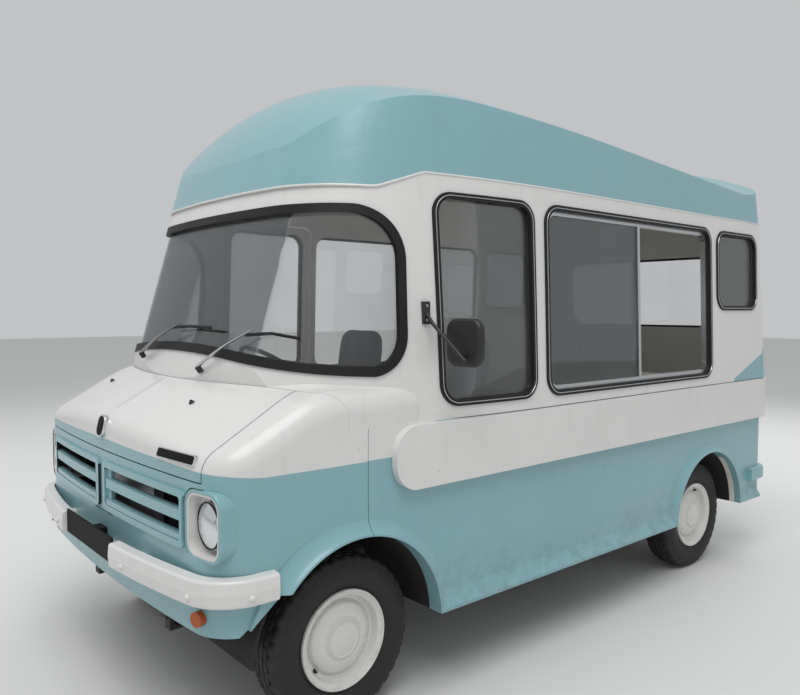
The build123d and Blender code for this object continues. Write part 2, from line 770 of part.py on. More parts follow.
# Bumpers
bumper_end_x, bumper_tip_x, bumper_z = 290, 1003, 652
with BuildPart() as left_bumper:
    with BuildLine() as blade_line:
        start_point = Vector(bumper_end_x, fy(-front_overhang))
        bow = JernArc(start_point, (1, 0.066), 4400, 7.1)
        corner = JernArc(bow @ 1, bow % 1, 205, 77)
        Line(corner @ 1, (corner @ 1) + (corner % 1) * 75)
    along = Vector(1, 0.066).normalized()
    start = start_point + Vector(0, 0, bumper_z)
    with BuildSketch(Plane(origin=start, x_dir=(-along.Y, along.X, 0), z_dir=along)):
        with BuildLine():
            FilletPolyline((46, 50), (4, 47), (0, 0), (4, -47), (46, -50), radius=12)
            Line((46, -50), (46, 50))
        make_face()
    sweep()
bumper_stays = block((372, 438), (-655, -500), (632, 672)) + block((790, 830), (-598, -450), (632, 672))
bumper_with_stays = left_bumper.part + bumper_stays
with BuildPart() as front_bumper:
    add(both_sides(bumper_with_stays))
    add(arch_lips(front_axle_y, front_arch_radius), mode=Mode.SUBTRACT)
    add(arch_cutter(front_axle_y, front_arch_radius + lip_width / 2), mode=Mode.SUBTRACT)
    add(nose_skin, mode=Mode.SUBTRACT)
save(front_bumper, "front_bumper")

rear_bumper_rear = 3520
with BuildPart() as rear_bumper:
    add(extrude(rear_box_plan(468, lip_face_x, 3240, rear_bumper_rear, 138), amount=85, mode=Mode.PRIVATE))
    long_edges = rear_bumper.edges().filter_by(Axis.Z, reverse=True)
    fillet(long_edges.filter_by(lambda e: e.center().Y > fy(3250)), 18)
    add(lower_body(0), mode=Mode.SUBTRACT)
save(rear_bumper, "rear_bumper")

with BuildPart() as number_plates:
    add(block((-280, 280), (-672, -664), (612, 714)))
    add(block((-40, 40), (-664, -560), (640, 690)) - nose_skin)
    add(block((-260, 260), (body_rear, body_rear + 8), (600, 711)))
save(number_plates, "number_plates")

# Small lamps: indicators under the bumper and lamp clusters at the back
indicator_point = (822, -540, 548)
with BuildPart() as front_indicators:
    lens = rod(indicator_point, (indicator_point[0] + 12, -586, indicator_point[2]), 27)
    add(both_sides(lens - nose_skin))
save(front_indicators, "front_indicators")

with BuildPart() as tail_lamps:
    add(both_sides(block((760, 850), (body_rear - 10, body_rear + 34), (690, 860)) - lower_body(0)))
save(tail_lamps, "tail_lamps")

# Mirrors: a plate on the body, a bent arm and a rounded head. The right one rides on the door.
def mirror_unit(shift, wide):
    """Left-hand mirror moved back by shift, on a plate so wide that stands just off the body."""
    post_y = 384 + shift
    plate = block((880, 936), (post_y - wide / 2, post_y + wide / 2), (1542, 1634))
    arm_points = [(928, post_y, 1588), (956, post_y + 10, 1546), (1136, post_y + 16, 1401)]
    elbow = Pos(956, fy(post_y + 10), 1546) * Sphere(8, mode=Mode.PRIVATE)
    arm = rod(*arm_points[:2], 8) + rod(*arm_points[1:], 8) + elbow
    ball = rod((1112, post_y + 14, 1420), (1112, post_y + 48, 1420), 13)
    with BuildSketch(Plane.XZ.offset(-fy(post_y + 68))) as shape:
        with Locations((1096, 1470)):
            RectangleRounded(192, 192, 52)
    head = extrude(shape.sketch, amount=28, mode=Mode.PRIVATE)
    head = head.fillet(14, head.faces().sort_by(Axis.Y)[0].edges())
    return plate + arm + ball + head - Pos(0.4, 0, 0) * skins[0]


left_unit = mirror_unit(0, 34)
right_unit = mirror(mirror_unit(43, 20), about=Plane.YZ)
with BuildPart() as left_mirror:
    add(left_unit)
save(left_mirror, "left_mirror")

with BuildPart() as right_mirror:
    add(right_unit)
save(right_mirror, "right_mirror")

# Wipers: spindle, arm and blade, as points on the screen with Y from the front axle
# Columns: spindle, elbow, blade start, blade middle, blade end
wiper_points = [
    ((282, -306, 1361), (604, -226, 1520), (547, -234, 1499), (658, -175, 1507), (740, -101, 1488)),
    ((-343, -300, 1391), (63, -276, 1542), (-86, -261, 1517), (109, -258, 1526), (310, -257, 1524)),
]
with BuildPart() as wipers:
    for spindle, elbow, blade_start, blade_middle, blade_end in wiper_points:
        foot = (spindle[0], spindle[1] + 34, spindle[2] - 8)
        up = (0, -0.27, 0.96)
        one = rod(foot, spindle, 13) + strap(spindle, elbow, up, 14, 5)
        one += strap(blade_start, blade_middle, up, 16, 8) + strap(blade_middle, blade_end, up, 16, 8)
        one += rod(elbow, (elbow[0], elbow[1] + 44, elbow[2] - 10), 4)
        add(one - skins[0])
save(wipers, "wipers")

# Chassis: ladder frame with outriggers under the floor and lashing eyes at the rails' ends
rail_inner, rail_outer, rail_bottom, rail_top = 380, 430, 400, 500
floor_bottom = floor_top - floor_thickness
crossmembers = [-480, 700, 1500, 2150, 3380]
outriggers = [540, 1150, 2200, 3200]
eyes = [(-470, 50), (3350, 100)]
eye_radius, eye_rise = 14, 28
with BuildPart() as chassis_frame:
    add(both_sides(block((rail_inner, rail_outer), (-520, 3400), (rail_bottom, rail_top))))
    for y in crossmembers:
        add(block((-rail_inner - 5, rail_inner + 5), (y - 20, y + 20), (rail_bottom + 10, rail_top - 10)))
    for y in outriggers:
        add(block((-900, 900), (y - 25, y + 25), (rail_top, floor_bottom)))
    for y, drop in eyes:
        add(both_sides(block((rail_inner, rail_outer), (y - 35, y + 35), (rail_bottom - drop, rail_bottom))))
        centre = Pos(0, fy(y), rail_bottom - drop + eye_rise)
        hole = centre * Rot(0, 90, 0) * Cylinder(eye_radius, 1000, mode=Mode.PRIVATE)
        add(hole, mode=Mode.SUBTRACT)
save(chassis_frame, "chassis_frame")

with BuildPart() as engine:
    add(block((-230, 230), (-420, 200), (420, 960)))
save(engine, "engine")

# Round tunnels over the wheels, inside the flared arches
# Columns: axle Y, inner radius, X of the inner end, bottom of the closing cheek
liners = [(front_axle_y, front_arch_radius + 2, 525, 520), (rear_axle_y, rear_arch_radius + 2, 640, 400)]
liner_wall, liner_end_x = 12, 927
with BuildPart() as wheel_arch_liners:
    for axle_y, radius, inner_x, cheek_bottom in liners:
        length = liner_end_x - inner_x
        tunnel = Pos((inner_x + liner_end_x) / 2, axle_y, arch_centre_z) * Rot(0, 90, 0)
        shell = tunnel * Cylinder(radius + liner_wall, length, mode=Mode.PRIVATE)
        shell -= tunnel * Cylinder(radius, length + 2, mode=Mode.PRIVATE)
        shell &= block((0, 1300), (-900, 3900), (skirt_z, 1400))
        cheek = Pos(inner_x - liner_wall / 2, axle_y, arch_centre_z) * Rot(0, 90, 0)
        cheek = cheek * Cylinder(radius + liner_wall, liner_wall, mode=Mode.PRIVATE)
        cheek &= block((0, 1300), (-900, 3900), (cheek_bottom, 1400))
        add(both_sides(shell + cheek))
save(wheel_arch_liners, "wheel_arch_liners")

wells = []
for axle_y, radius, inner_x, cheek_bottom in liners:
    length = 1000 - inner_x + liner_wall + 1
    well = Pos(1000 - length / 2, axle_y, arch_centre_z) * Rot(0, 90, 0)
    wells += both_sides(well * Cylinder(radius + liner_wall + 1, length, mode=Mode.PRIVATE))

# Floor with the bulkhead and the engine cover between the seats
bulkhead_y, bulkhead_thickness = -110, 30
cover_half, cover_rear, cover_top, cover_wall = 300, 260, 1040, 16
with BuildPart() as floor:
    plan = rear_box_plan(floor_bottom, 928, bulkhead_y, 3421, 38)
    add(extrude(plan, amount=floor_thickness, mode=Mode.PRIVATE))
    add(block((-928, 928), (bulkhead_y - bulkhead_thickness, bulkhead_y), (floor_bottom, waist_z - 3)))
    add(block((-cover_half, cover_half), (bulkhead_y, cover_rear), (floor_bottom, cover_top)))
    inner_half = cover_half - cover_wall
    front = bulkhead_y - bulkhead_thickness
    add(
        block((-inner_half, inner_half), (front, cover_rear - cover_wall), (0, cover_top - cover_wall)),
        mode=Mode.SUBTRACT,
    )
    add(wells, mode=Mode.SUBTRACT)
save(floor, "floor")

# Under the floor
exhaust_x, exhaust_z = -567, 425
with BuildPart() as exhaust:
    add(rod((exhaust_x, 480, exhaust_z), (exhaust_x, 3390, exhaust_z), 22))
    add(rod((exhaust_x, 1300, exhaust_z), (exhaust_x, 1850, exhaust_z), 62))
save(exhaust, "exhaust")

with BuildPart() as fuel_tank:
    add(block((450, 830), (1230, 1850), (350, 498)))
    fillet(fuel_tank.edges().filter_by(Axis.Y), 40)
save(fuel_tank, "fuel_tank")

# Front suspension: crossmember under the engine with a pair of arms to each knuckle
post_half, arm_gap = 95, 6
with BuildPart() as front_suspension:
    add(block((-470, 470), (-60, 60), (240, 396)))
    arms = block((432, 470), (-60, 60), (200, 450))
    for bottom in (hub_z - post_half - arm_gap - 20, hub_z + post_half + arm_gap):
        arms += block((465, kingpin_x + 22), (-30, 30), (bottom, bottom + 20))
    add(both_sides(arms))
save(front_suspension, "front_suspension")

stub_radius, stub_end_x, bore_clearance = 30, 872, 0.5
axle_distance = wheelbase
with BuildPart() as rear_axle:
    add(rod((-744, axle_distance, hub_z), (744, axle_distance, hub_z), 40))
    add(rod((-stub_end_x, axle_distance, hub_z), (stub_end_x, axle_distance, hub_z), stub_radius))
    add(rod((-75, axle_distance, hub_z), (75, axle_distance, hub_z), 125))
    for x0, x1 in ((742, 752), (-752, -742)):
        add(rod((x0, axle_distance, hub_z), (x1, axle_distance, hub_z), 110))
save(rear_axle, "rear_axle")

spring_half, spring_rise = 560, 62
with BuildPart() as left_spring:
    with BuildSketch(Plane.YZ.offset(rail_outer + 20)):
        with BuildLine():
            low = hub_z + 42
            lower = ThreePointArc(
                (fy(axle_distance - spring_half), low + spring_rise),
                (fy(axle_distance), low),
                (fy(axle_distance + spring_half), low + spring_rise),
            )
            upper = ThreePointArc(
                (fy(axle_distance + spring_half), low + spring_rise + 12),
                (fy(axle_distance), low + 34),
                (fy(axle_distance - spring_half), low + spring_rise + 12),
            )
            Line(lower @ 1, upper @ 0)
            Line(upper @ 1, lower @ 0)
        make_face()
    extrude(amount=60)
    for end in (-1, 1):
        y = axle_distance + end * (spring_half + 12)
        z = low + spring_rise
        add(block((rail_outer, rail_outer + 80), (y - 25, y + 25), (z - 10, z + 50)))
with BuildPart() as rear_springs:
    add(both_sides(left_spring.part))
save(rear_springs, "rear_springs")

# Inside the cab
with BuildPart() as dashboard:
    add(upper_body(wall + 2) & block((-900, 900), (-340, 60), (waist_z + 3, 1262)))
    add(block((-560, -250), (18, 72), (1200, 1322)))
    fillet(dashboard.edges().filter_by(Axis.X).sort_by(Axis.Z)[-2:], 18)
save(dashboard, "dashboard")

wheel_x, wheel_y, wheel_z, column_lean = -380, 450, 1280, 35
steering_radius, rim_bar = 203, 12
lean = radians(column_lean)
column_axis = Vector(0, sin(lean), cos(lean))
wheel_centre = Vector(wheel_x, wheel_y, wheel_z)


def on_column(distance):
    """Point on the steering axis, this far below the steering wheel."""
    return tuple(wheel_centre - column_axis * distance)


with BuildPart() as steering_column:
    add(rod(on_column(45), on_column(850), 24))
    add(rod(on_column(60), on_column(180), 46))
    add(block((-440, -320), (-85, 15), (floor_top, floor_top + 12)))
save(steering_column, "steering_column")

with BuildPart() as steering_wheel:
    wheel_plane = Plane(
        origin=(wheel_x, fy(wheel_y), wheel_z), x_dir=(1, 0, 0), z_dir=(0, sin(lean), cos(lean))
    )
    add(wheel_plane.location * Torus(steering_radius, rim_bar, mode=Mode.PRIVATE))
    add(wheel_plane.location * Pos(0, 0, -5) * Cylinder(36, 60, mode=Mode.PRIVATE))
    for angle in (0, 120, 240):
        spoke = Pos(steering_radius / 2, 0, 0) * Box(steering_radius, 26, 9, mode=Mode.PRIVATE)
        add(wheel_plane.location * Rot(0, 0, angle + 90) * spoke)
save(steering_wheel, "steering_wheel")

seat_x, seat_half = 430, 210
with BuildPart() as seat_bases:
    add(both_sides(block((seat_x - 180, seat_x + 180), (640, 1040), (floor_top, 855))))
save(seat_bases, "seat_bases")

with BuildPart() as left_seat:
    with BuildSketch(Plane.YZ.offset(seat_x - seat_half)):
        with BuildLine():
            FilletPolyline(
                (fy(600), 857), (fy(600), 965), (fy(1010), 945), (fy(1085), 1500),
                (fy(1175), 1488), (fy(1090), 857), radius=28, close=True,
            )
        make_face()
    extrude(amount=2 * seat_half)
with BuildPart() as seats:
    add(both_sides(left_seat.part))
save(seats, "seats")

# Serving side: counter under the hatch, and the tall cabinet opposite
with BuildPart() as counter:
    add(block((560, 925), (1200, 2720), (floor_top, 1150)))
    add(block((520, 925), (1190, 2730), (1150, 1184)))
    add(wells, mode=Mode.SUBTRACT)
save(counter, "counter")

with BuildPart() as cabinet:
    add(block((-915, -480), (2230, 3385), (floor_top, 1540)))
    fillet(cabinet.edges().filter_by(Axis.Z).filter_by(lambda e: e.center().X > -500), 40)
    add(wells, mode=Mode.SUBTRACT)
save(cabinet, "cabinet")

# Running gear
for side, sign in (("left", 1), ("right", -1)):
    with BuildPart() as knuckle:
        post_x = sign * kingpin_x
        add(Pos(post_x, front_axle_y, hub_z) * Cylinder(26, 2 * post_half, mode=Mode.PRIVATE))
        add(rod((post_x, 0, hub_z), (sign * stub_end_x, 0, hub_z), stub_radius))
        add(rod((sign * 744, 0, hub_z), (sign * 754, 0, hub_z), 90))
    save(knuckle, f"{side}_knuckle")

# Wheel: profiles as (distance outwards from the wheel's middle, radius)
with BuildPart() as rim:
    with BuildSketch(Plane.XY):
        with BuildLine():
            Polyline(
                (-78, 188), (-70, 188), (-66, rim_radius), (64, rim_radius), (70, 195), (80, 195),
                (80, 186), (72, 170), (44, 160), (36, 140),
            )
            ThreePointArc((36, 140), (60, 112), (68, 80))
            Polyline((68, 80), (62, 74), (68, 68), (74, 46), (78, 20), (79, 0))
            Polyline(
                (79, 0), (66, 0), (66, stub_radius + bore_clearance), (-44, stub_radius + bore_clearance),
                (-44, 56), (-6, 70), (16, 110), (16, 150), (10, 162), (-66, 164), (-78, 170), (-78, 188),
            )
        make_face()
    revolve(axis=Axis.X)
with BuildPart() as tyre:
    with BuildSketch(Plane.XY):
        with BuildLine():
            Line((-63, rim_radius + 0.5), (63, rim_radius + 0.5))
            bead = Line((63, rim_radius + 0.5), (69.5, 197))
            ThreePointArc(bead @ 1, (tyre_width / 2, 252), (78, 306))
            ThreePointArc((78, 306), (73, 318), (62, 323))
            ThreePointArc((62, 323), (0, tyre_radius), (-62, 323))
            ThreePointArc((-62, 323), (-73, 318), (-78, 306))
            ThreePointArc((-78, 306), (-tyre_width / 2, 252), (-69.5, 197))
            Line((-69.5, 197), (-63, rim_radius + 0.5))
        make_face()
    revolve(axis=Axis.X)
for name, axle_y in (("front", front_axle_y), ("rear", rear_axle_y)):
    for side, sign in (("left", 1), ("right", -1)):
        place = Pos(sign * wheel_centre_x, axle_y, hub_z) * Rot(0, 0, 0 if sign > 0 else 180)
        with BuildPart() as placed_rim:
            add(place * rim.part)
        save(placed_rim, f"{name}_{side}_rim")
        with BuildPart() as placed_tyre:
            add(place * tyre.part)
        save(placed_tyre, f"{name}_{side}_tyre")
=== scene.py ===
import json

import bmesh
import bpy
from math import cos, hypot, pi, radians, sin, sqrt
from mathutils import Matrix, Vector
from mathutils.bvhtree import BVHTree

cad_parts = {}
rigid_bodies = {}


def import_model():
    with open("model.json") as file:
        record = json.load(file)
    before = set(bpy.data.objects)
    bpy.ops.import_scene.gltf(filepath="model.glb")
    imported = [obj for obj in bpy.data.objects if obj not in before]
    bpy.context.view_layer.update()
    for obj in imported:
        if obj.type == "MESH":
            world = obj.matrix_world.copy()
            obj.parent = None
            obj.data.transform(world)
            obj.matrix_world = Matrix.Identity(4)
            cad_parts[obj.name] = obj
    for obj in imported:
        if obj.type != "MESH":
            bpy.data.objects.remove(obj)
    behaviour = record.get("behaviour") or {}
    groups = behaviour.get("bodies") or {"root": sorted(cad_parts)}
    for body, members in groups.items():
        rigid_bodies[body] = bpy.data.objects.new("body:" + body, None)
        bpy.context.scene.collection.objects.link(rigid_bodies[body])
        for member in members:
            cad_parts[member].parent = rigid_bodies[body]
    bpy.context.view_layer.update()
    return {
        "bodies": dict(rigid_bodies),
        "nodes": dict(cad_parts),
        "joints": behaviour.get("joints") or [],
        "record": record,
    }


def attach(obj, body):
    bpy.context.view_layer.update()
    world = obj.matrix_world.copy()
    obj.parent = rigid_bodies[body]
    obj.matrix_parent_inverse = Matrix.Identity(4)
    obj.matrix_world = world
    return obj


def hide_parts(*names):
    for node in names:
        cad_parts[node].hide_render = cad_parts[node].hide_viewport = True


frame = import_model()
nodes = frame["nodes"]

# Places that the pieces below share, in metres. Distances behind the front axle are in millimetres.
FRONT_AXLE = -1.415
REAR_AXLE = FRONT_AXLE + 2.692
HUB_Z = 0.325
WHEEL_X = 0.810


def fy(distance):
    """Y of a point that lies this many millimetres behind the front axle."""
    return FRONT_AXLE + distance / 1000


# Camera at the photograph's angle, on an open pale floor
camera_data = bpy.data.cameras.new("camera")
camera_data.sensor_width = 36
camera_data.lens = 33.09
camera = bpy.data.objects.new("camera", camera_data)
camera.location = (3.1399, -3.0623, 1.6023)
camera.rotation_euler = (radians(90 - 2.978), radians(-0.0756), radians(49.45))
bpy.context.scene.collection.objects.link(camera)
bpy.context.scene.camera = camera


class Tree:
    """Short names for the shader nodes that the materials below are made of."""

    def __init__(self, name):
        self.material = bpy.data.materials.new(name)
        self.material.use_nodes = True
        self.nodes = self.material.node_tree.nodes
        self.links = self.material.node_tree.links
        self.shader = self.nodes["Principled BSDF"]
        self.place = self.nodes.new("ShaderNodeTexCoord").outputs["Object"]
        split = self.nodes.new("ShaderNodeSeparateXYZ")
        self.links.new(self.place, split.inputs[0])
        self.x, self.y, self.z = split.outputs

    def feed(self, socket, value):
        """Link a socket or set a plain value."""
        if isinstance(value, bpy.types.NodeSocket):
            self.links.new(value, socket)
        else:
            socket.default_value = value

    def set(self, **values):
        for name, value in values.items():
            self.feed(self.shader.inputs[name.replace("_", " ")], value)

    def math(self, operation, a, b=0.0, clamp=False):
        made = self.nodes.new("ShaderNodeMath")
        made.operation = operation
        made.use_clamp = clamp
        self.feed(made.inputs[0], a)
        self.feed(made.inputs[1], b)
        return made.outputs[0]

    def add(self, a, b):
        return self.math("ADD", a, b)

    def times(self, a, b):
        return self.math("MULTIPLY", a, b)

    def least(self, a, b):
        return self.math("MINIMUM", a, b)

    def most(self, a, b):
        return self.math("MAXIMUM", a, b)

    def step(self, value, edge, width=0.002):
        """0 below the edge and 1 above it."""
        made = self.nodes.new("ShaderNodeMapRange")
        self.feed(made.inputs["Value"], value)
        made.inputs["From Min"].default_value = edge - width / 2
        made.inputs["From Max"].default_value = edge + width / 2
        return made.outputs["Result"]

    def inverse(self, value):
        return self.math("SUBTRACT", 1.0, value)

    def less(self, a, b):
        return self.math("SUBTRACT", a, b)

    def size(self, value):
        return self.math("ABSOLUTE", value)

    def near(self, value, middle, reach, soft):
        """1 within reach of a middle value and 0 further off."""
        return self.inverse(self.step(self.size(self.less(value, middle)), reach, soft))

    def noise(self, scale, detail=4.0, roughness=0.55, distortion=0.0, stretch=None):
        made = self.nodes.new("ShaderNodeTexNoise")
        made.inputs["Scale"].default_value = scale
        made.inputs["Detail"].default_value = detail
        made.inputs["Roughness"].default_value = roughness
        made.inputs["Distortion"].default_value = distortion
        self.links.new(self.stretched(stretch), made.inputs["Vector"])
        return made.outputs["Fac"]

    def cells(self, scale, stretch=None):
        made = self.nodes.new("ShaderNodeTexVoronoi")
        made.inputs["Scale"].default_value = scale
        self.links.new(self.stretched(stretch), made.inputs["Vector"])
        return made.outputs["Distance"]

    def stretched(self, stretch):
        if stretch is None:
            return self.place
        made = self.nodes.new("ShaderNodeMapping")
        self.links.new(self.place, made.inputs["Vector"])
        made.inputs["Scale"].default_value = stretch
        return made.outputs["Vector"]

    def mix(self, factor, a, b):
        """Colour a where the factor is 0 and b where it is 1."""
        made = self.nodes.new("ShaderNodeMix")
        made.data_type = "RGBA"
        self.feed(made.inputs[0], factor)
        self.feed(made.inputs[6], (*a, 1) if isinstance(a, tuple) else a)
        self.feed(made.inputs[7], (*b, 1) if isinstance(b, tuple) else b)
        return made.outputs[2]

    def bump(self, height, strength, distance):
        made = self.nodes.new("ShaderNodeBump")
        made.inputs["Strength"].default_value = strength
        made.inputs["Distance"].default_value = distance
        self.links.new(height, made.inputs["Height"])
        previous = self.shader.inputs["Normal"].links
        if previous:
            self.links.new(previous[0].from_socket, made.inputs["Normal"])
        self.links.new(made.outputs["Normal"], self.shader.inputs["Normal"])


# Paint
TEAL = (0.235, 0.430, 0.470)
WHITE = (0.730, 0.720, 0.700)
INTERIOR = (0.78, 0.76, 0.71)
# Near black for the nose's inward faces: painted shade inside the wheel arches and under the bonnet
NOSE_SHADE = (0.018, 0.018, 0.019)
DIRT = (0.090, 0.080, 0.065)


def facing_in(tree, centre):
    """1 on faces that look back at a line through the body's middle."""
    normal = tree.nodes.new("ShaderNodeNewGeometry").outputs["Normal"]
    away = tree.nodes.new("ShaderNodeVectorMath")
    away.operation = "SUBTRACT"
    tree.links.new(tree.place, away.inputs[0])
    away.inputs[1].default_value = centre
    dot = tree.nodes.new("ShaderNodeVectorMath")
    dot.operation = "DOT_PRODUCT"
    tree.links.new(away.outputs[0], dot.inputs[0])
    tree.links.new(normal, dot.inputs[1])
    return tree.inverse(tree.step(dot.outputs["Value"], 0.0, 0.01))


def wavy(tree, value, amount=0.0015):
    """A value with the small waver of a masked paint edge."""
    return tree.add(value, tree.times(tree.less(tree.noise(9), 0.5), amount))


def paint(name, white_where, inside_where=None, inside=INTERIOR, fold=None):
    """Gloss coach paint in two colours: white_where gives the white's mask and fold a raised line."""
    tree = Tree(name)
    mask = white_where(tree)
    cloud = tree.noise(1.7, 5)
    fine = tree.noise(14, 6, 0.7)
    teal = tree.mix(cloud, tuple(c * 0.93 for c in TEAL), tuple(c * 1.06 for c in TEAL))
    white = tree.mix(cloud, tuple(c * 0.95 for c in WHITE), tuple(c * 1.03 for c in WHITE))
    colour = tree.mix(mask, teal, white)
    low = tree.inverse(tree.step(tree.z, 0.46, 0.34))
    grime = tree.times(tree.times(low, tree.step(fine, 0.52, 0.22)), 0.34)
    streaks = tree.noise(5, 5, 0.6, 0.4, (4, 4, 0.35))
    run = tree.times(tree.step(streaks, 0.62, 0.16), 0.045)
    colour = tree.mix(tree.most(grime, run), colour, DIRT)
    chips = tree.times(tree.inverse(tree.step(tree.cells(11), 0.05, 0.012)), tree.step(fine, 0.60, 0.03))
    colour = tree.mix(tree.times(chips, 0.55), colour, (0.30, 0.29, 0.27))
    if inside_where:
        colour = tree.mix(inside_where(tree), colour, inside)
    roughness = tree.add(0.24, tree.times(fine, 0.14))
    tree.set(Base_Color=colour, Roughness=tree.add(roughness, tree.times(grime, 0.6)))
    tree.set(Coat_Weight=0.35, Coat_Roughness=0.12, IOR=1.48)
    tree.bump(tree.noise(55, 3), 0.10, 0.0012)
    tree.bump(tree.noise(3.2, 2), 0.10, 0.012)
    if fold:
        tree.bump(fold(tree), 1.0, 0.009)
    return tree.material


# Paint lines, in metres above the ground, and how far the raised band stands out from the middle
NOSE_LINE = 1.027
BAND_BOTTOM, BAND_TOP = 0.886, 1.148
BAND_PROUD = 0.9725
REAR_WEDGE_TOP = 1.342
WEDGE_START = fy(2966)
BACK_FACE = fy(3465)
FOLD_HALF_WIDTH = 0.045


def bonnet_fold(tree):
    """Soft crease down the bonnet's middle, from the scuttle to the oval plate."""
    ridge = tree.most(tree.inverse(tree.times(tree.size(tree.x), 1 / FOLD_HALF_WIDTH)), 0.0)
    ahead = tree.step(tree.y, fy(-540), 0.12)
    behind = tree.inverse(tree.step(tree.y, fy(-330), 0.10))
    return tree.times(ridge, tree.times(ahead, behind))


def nose_white(tree):
    """White above a line that runs level along the wings and rises a little across the front."""
    front = tree.inverse(tree.step(tree.y, fy(-485), 0.20))
    rise = tree.add(0.037, tree.times(tree.size(tree.x), -0.015))
    line = tree.add(NOSE_LINE, tree.times(front, rise))
    return tree.step(tree.less(wavy(tree, tree.z), line), 0.0)


def side_white(tree):
    """The raised waist band, and what lies above the paint line ahead of it."""
    proud = tree.most(tree.step(tree.size(tree.x), BAND_PROUD), tree.step(tree.y, BACK_FACE))
    band = tree.times(proud, tree.times(tree.step(tree.z, BAND_BOTTOM), tree.step(tree.y, fy(150))))
    above_line = tree.step(wavy(tree, tree.z), NOSE_LINE + 0.002)
    ahead = tree.times(above_line, tree.inverse(tree.step(tree.y, fy(400))))
    return tree.most(band, tree.most(ahead, tree.step(tree.z, BAND_TOP)))


def rear_triangle_white(tree):
    """White, but for a teal wedge that rises to the back corner."""
    bottom = 1.166
    slant = tree.times(tree.less(tree.y, WEDGE_START), 0.366)
    slant = tree.least(slant, REAR_WEDGE_TOP - bottom)
    above = tree.less(wavy(tree, tree.z), tree.add(bottom, slant))
    return tree.most(tree.step(above, 0.0), tree.inverse(tree.step(tree.y, WEDGE_START)))


def rear_white(tree):
    """The back panel: teal below the band and in the wedge above it."""
    wedge = tree.step(wavy(tree, tree.z), REAR_WEDGE_TOP)
    proud = tree.most(tree.step(tree.y, BACK_FACE), tree.step(tree.size(tree.x), BAND_PROUD))
    below_top = tree.inverse(tree.step(tree.z, BAND_TOP + 0.001))
    band = tree.times(proud, tree.times(tree.step(tree.z, BAND_BOTTOM), below_top))
    return tree.most(wedge, band)


def everywhere(tree):
    return tree.step(tree.z, -1.0)


def nowhere(tree):
    return tree.step(tree.z, 9.0)


def body_inside(tree):
    """Lining: the faces that look inwards, short of the flared lips and the rear corner."""
    within = tree.inverse(tree.step(tree.size(tree.x), 0.962))
    short = tree.inverse(tree.step(tree.y, fy(3440)))
    return tree.times(facing_in(tree, (0, 0.3, 1.45)), tree.times(within, short))


def nose_inside(tree):
    return facing_in(tree, (0, fy(-150), 0.75))


def roof_inside(tree):
    """Lining under the roof: faces that look inwards and don't look up."""
    split = tree.nodes.new("ShaderNodeSeparateXYZ")
    tree.links.new(tree.nodes.new("ShaderNodeNewGeometry").outputs["Normal"], split.inputs[0])
    not_up = tree.inverse(tree.step(split.outputs["Z"], 0.25, 0.1))
    return tree.times(facing_in(tree, (0, 0.3, 2.05)), not_up)


paint_roof = paint("paint_roof", nowhere, roof_inside)
paint_upper = paint("paint_upper", rear_triangle_white, body_inside)
paint_lower = paint("paint_lower", side_white, body_inside)
paint_rear = paint("paint_rear", rear_white, body_inside)
# The nose's inward faces take the near-black painted shade
paint_nose = paint("paint_nose", nose_white, nose_inside, NOSE_SHADE)
paint_bonnet = paint("paint_bonnet", nose_white, nose_inside, NOSE_SHADE, bonnet_fold)
paint_white = paint("paint_white", everywhere)
paint_teal = paint("paint_teal", nowhere)


def plain(name, colour, roughness, speckle=0.12, grain=60, bump=0.15, depth=0.0006, metallic=0.0, **more):
    """One colour with a fine variation in tone, gloss and surface."""
    tree = Tree(name)
    cloud = tree.noise(4, 5)
    fine = tree.noise(grain, 5)
    dark = tuple(c * (1 - speckle) for c in colour)
    light = tuple(min(1, c * (1 + speckle)) for c in colour)
    tree.set(Base_Color=tree.mix(tree.times(tree.add(cloud, fine), 0.5), dark, light))
    tree.set(Roughness=tree.add(roughness - 0.05, tree.times(fine, 0.10)), Metallic=metallic, **more)
    tree.bump(fine, bump, depth)
    return tree.material


rubber = plain("rubber", (0.012, 0.012, 0.013), 0.50, 0.35, 220, 0.25, Specular_IOR_Level=0.30)
black_plastic = plain("black_plastic", (0.020, 0.020, 0.021), 0.40, 0.25, 320, 0.3)
chassis_black = plain("chassis_black", (0.022, 0.021, 0.020), 0.62, 0.5, 35, 0.5, 0.002)
liner_black = plain("liner_black", (0.020, 0.019, 0.018), 0.85, 0.6, 30, 0.7, 0.004)
cast_iron = plain("cast_iron", (0.075, 0.072, 0.070), 0.62, 0.3, 120, 0.6, 0.002, 0.6)
exhaust_steel = plain("exhaust_steel", (0.20, 0.16, 0.13), 0.58, 0.45, 22, 0.4, 0.001, 0.7)
tank_grey = plain("tank_grey", (0.035, 0.035, 0.038), 0.55, 0.3, 40, 0.4, 0.001)
chrome = plain("chrome", (0.78, 0.79, 0.80), 0.12, 0.04, 90, 0.04, 0.0004, 1.0)
aluminium = plain("aluminium", (0.62, 0.63, 0.64), 0.30, 0.08, 140, 0.12, 0.0005, 1.0)
dull_metal = plain("dull_metal", (0.34, 0.34, 0.35), 0.42, 0.15, 90, 0.2, 0.0006, 0.9)
interior_grey = plain("interior_grey", (0.085, 0.085, 0.090), 0.55, 0.15, 400, 0.35, 0.0005)
floor_grey = plain("floor_grey", (0.24, 0.24, 0.24), 0.60, 0.2, 160, 0.4, 0.001)
plate_black = plain("plate_black", (0.007, 0.007, 0.008), 0.62, 0.25, 160, 0.08, Specular_IOR_Level=0.16)
amber = plain("amber", (0.40, 0.075, 0.008), 0.20, 0.1, 60, 0.05)
red_lens = plain("red_lens", (0.42, 0.012, 0.010), 0.16, 0.1, 60, 0.05)
worktop = plain("worktop", (0.56, 0.54, 0.49), 0.34, 0.05, 200, 0.08)
dial_white = plain("dial_white", (0.70, 0.70, 0.66), 0.45, 0.05, 300, 0.05)


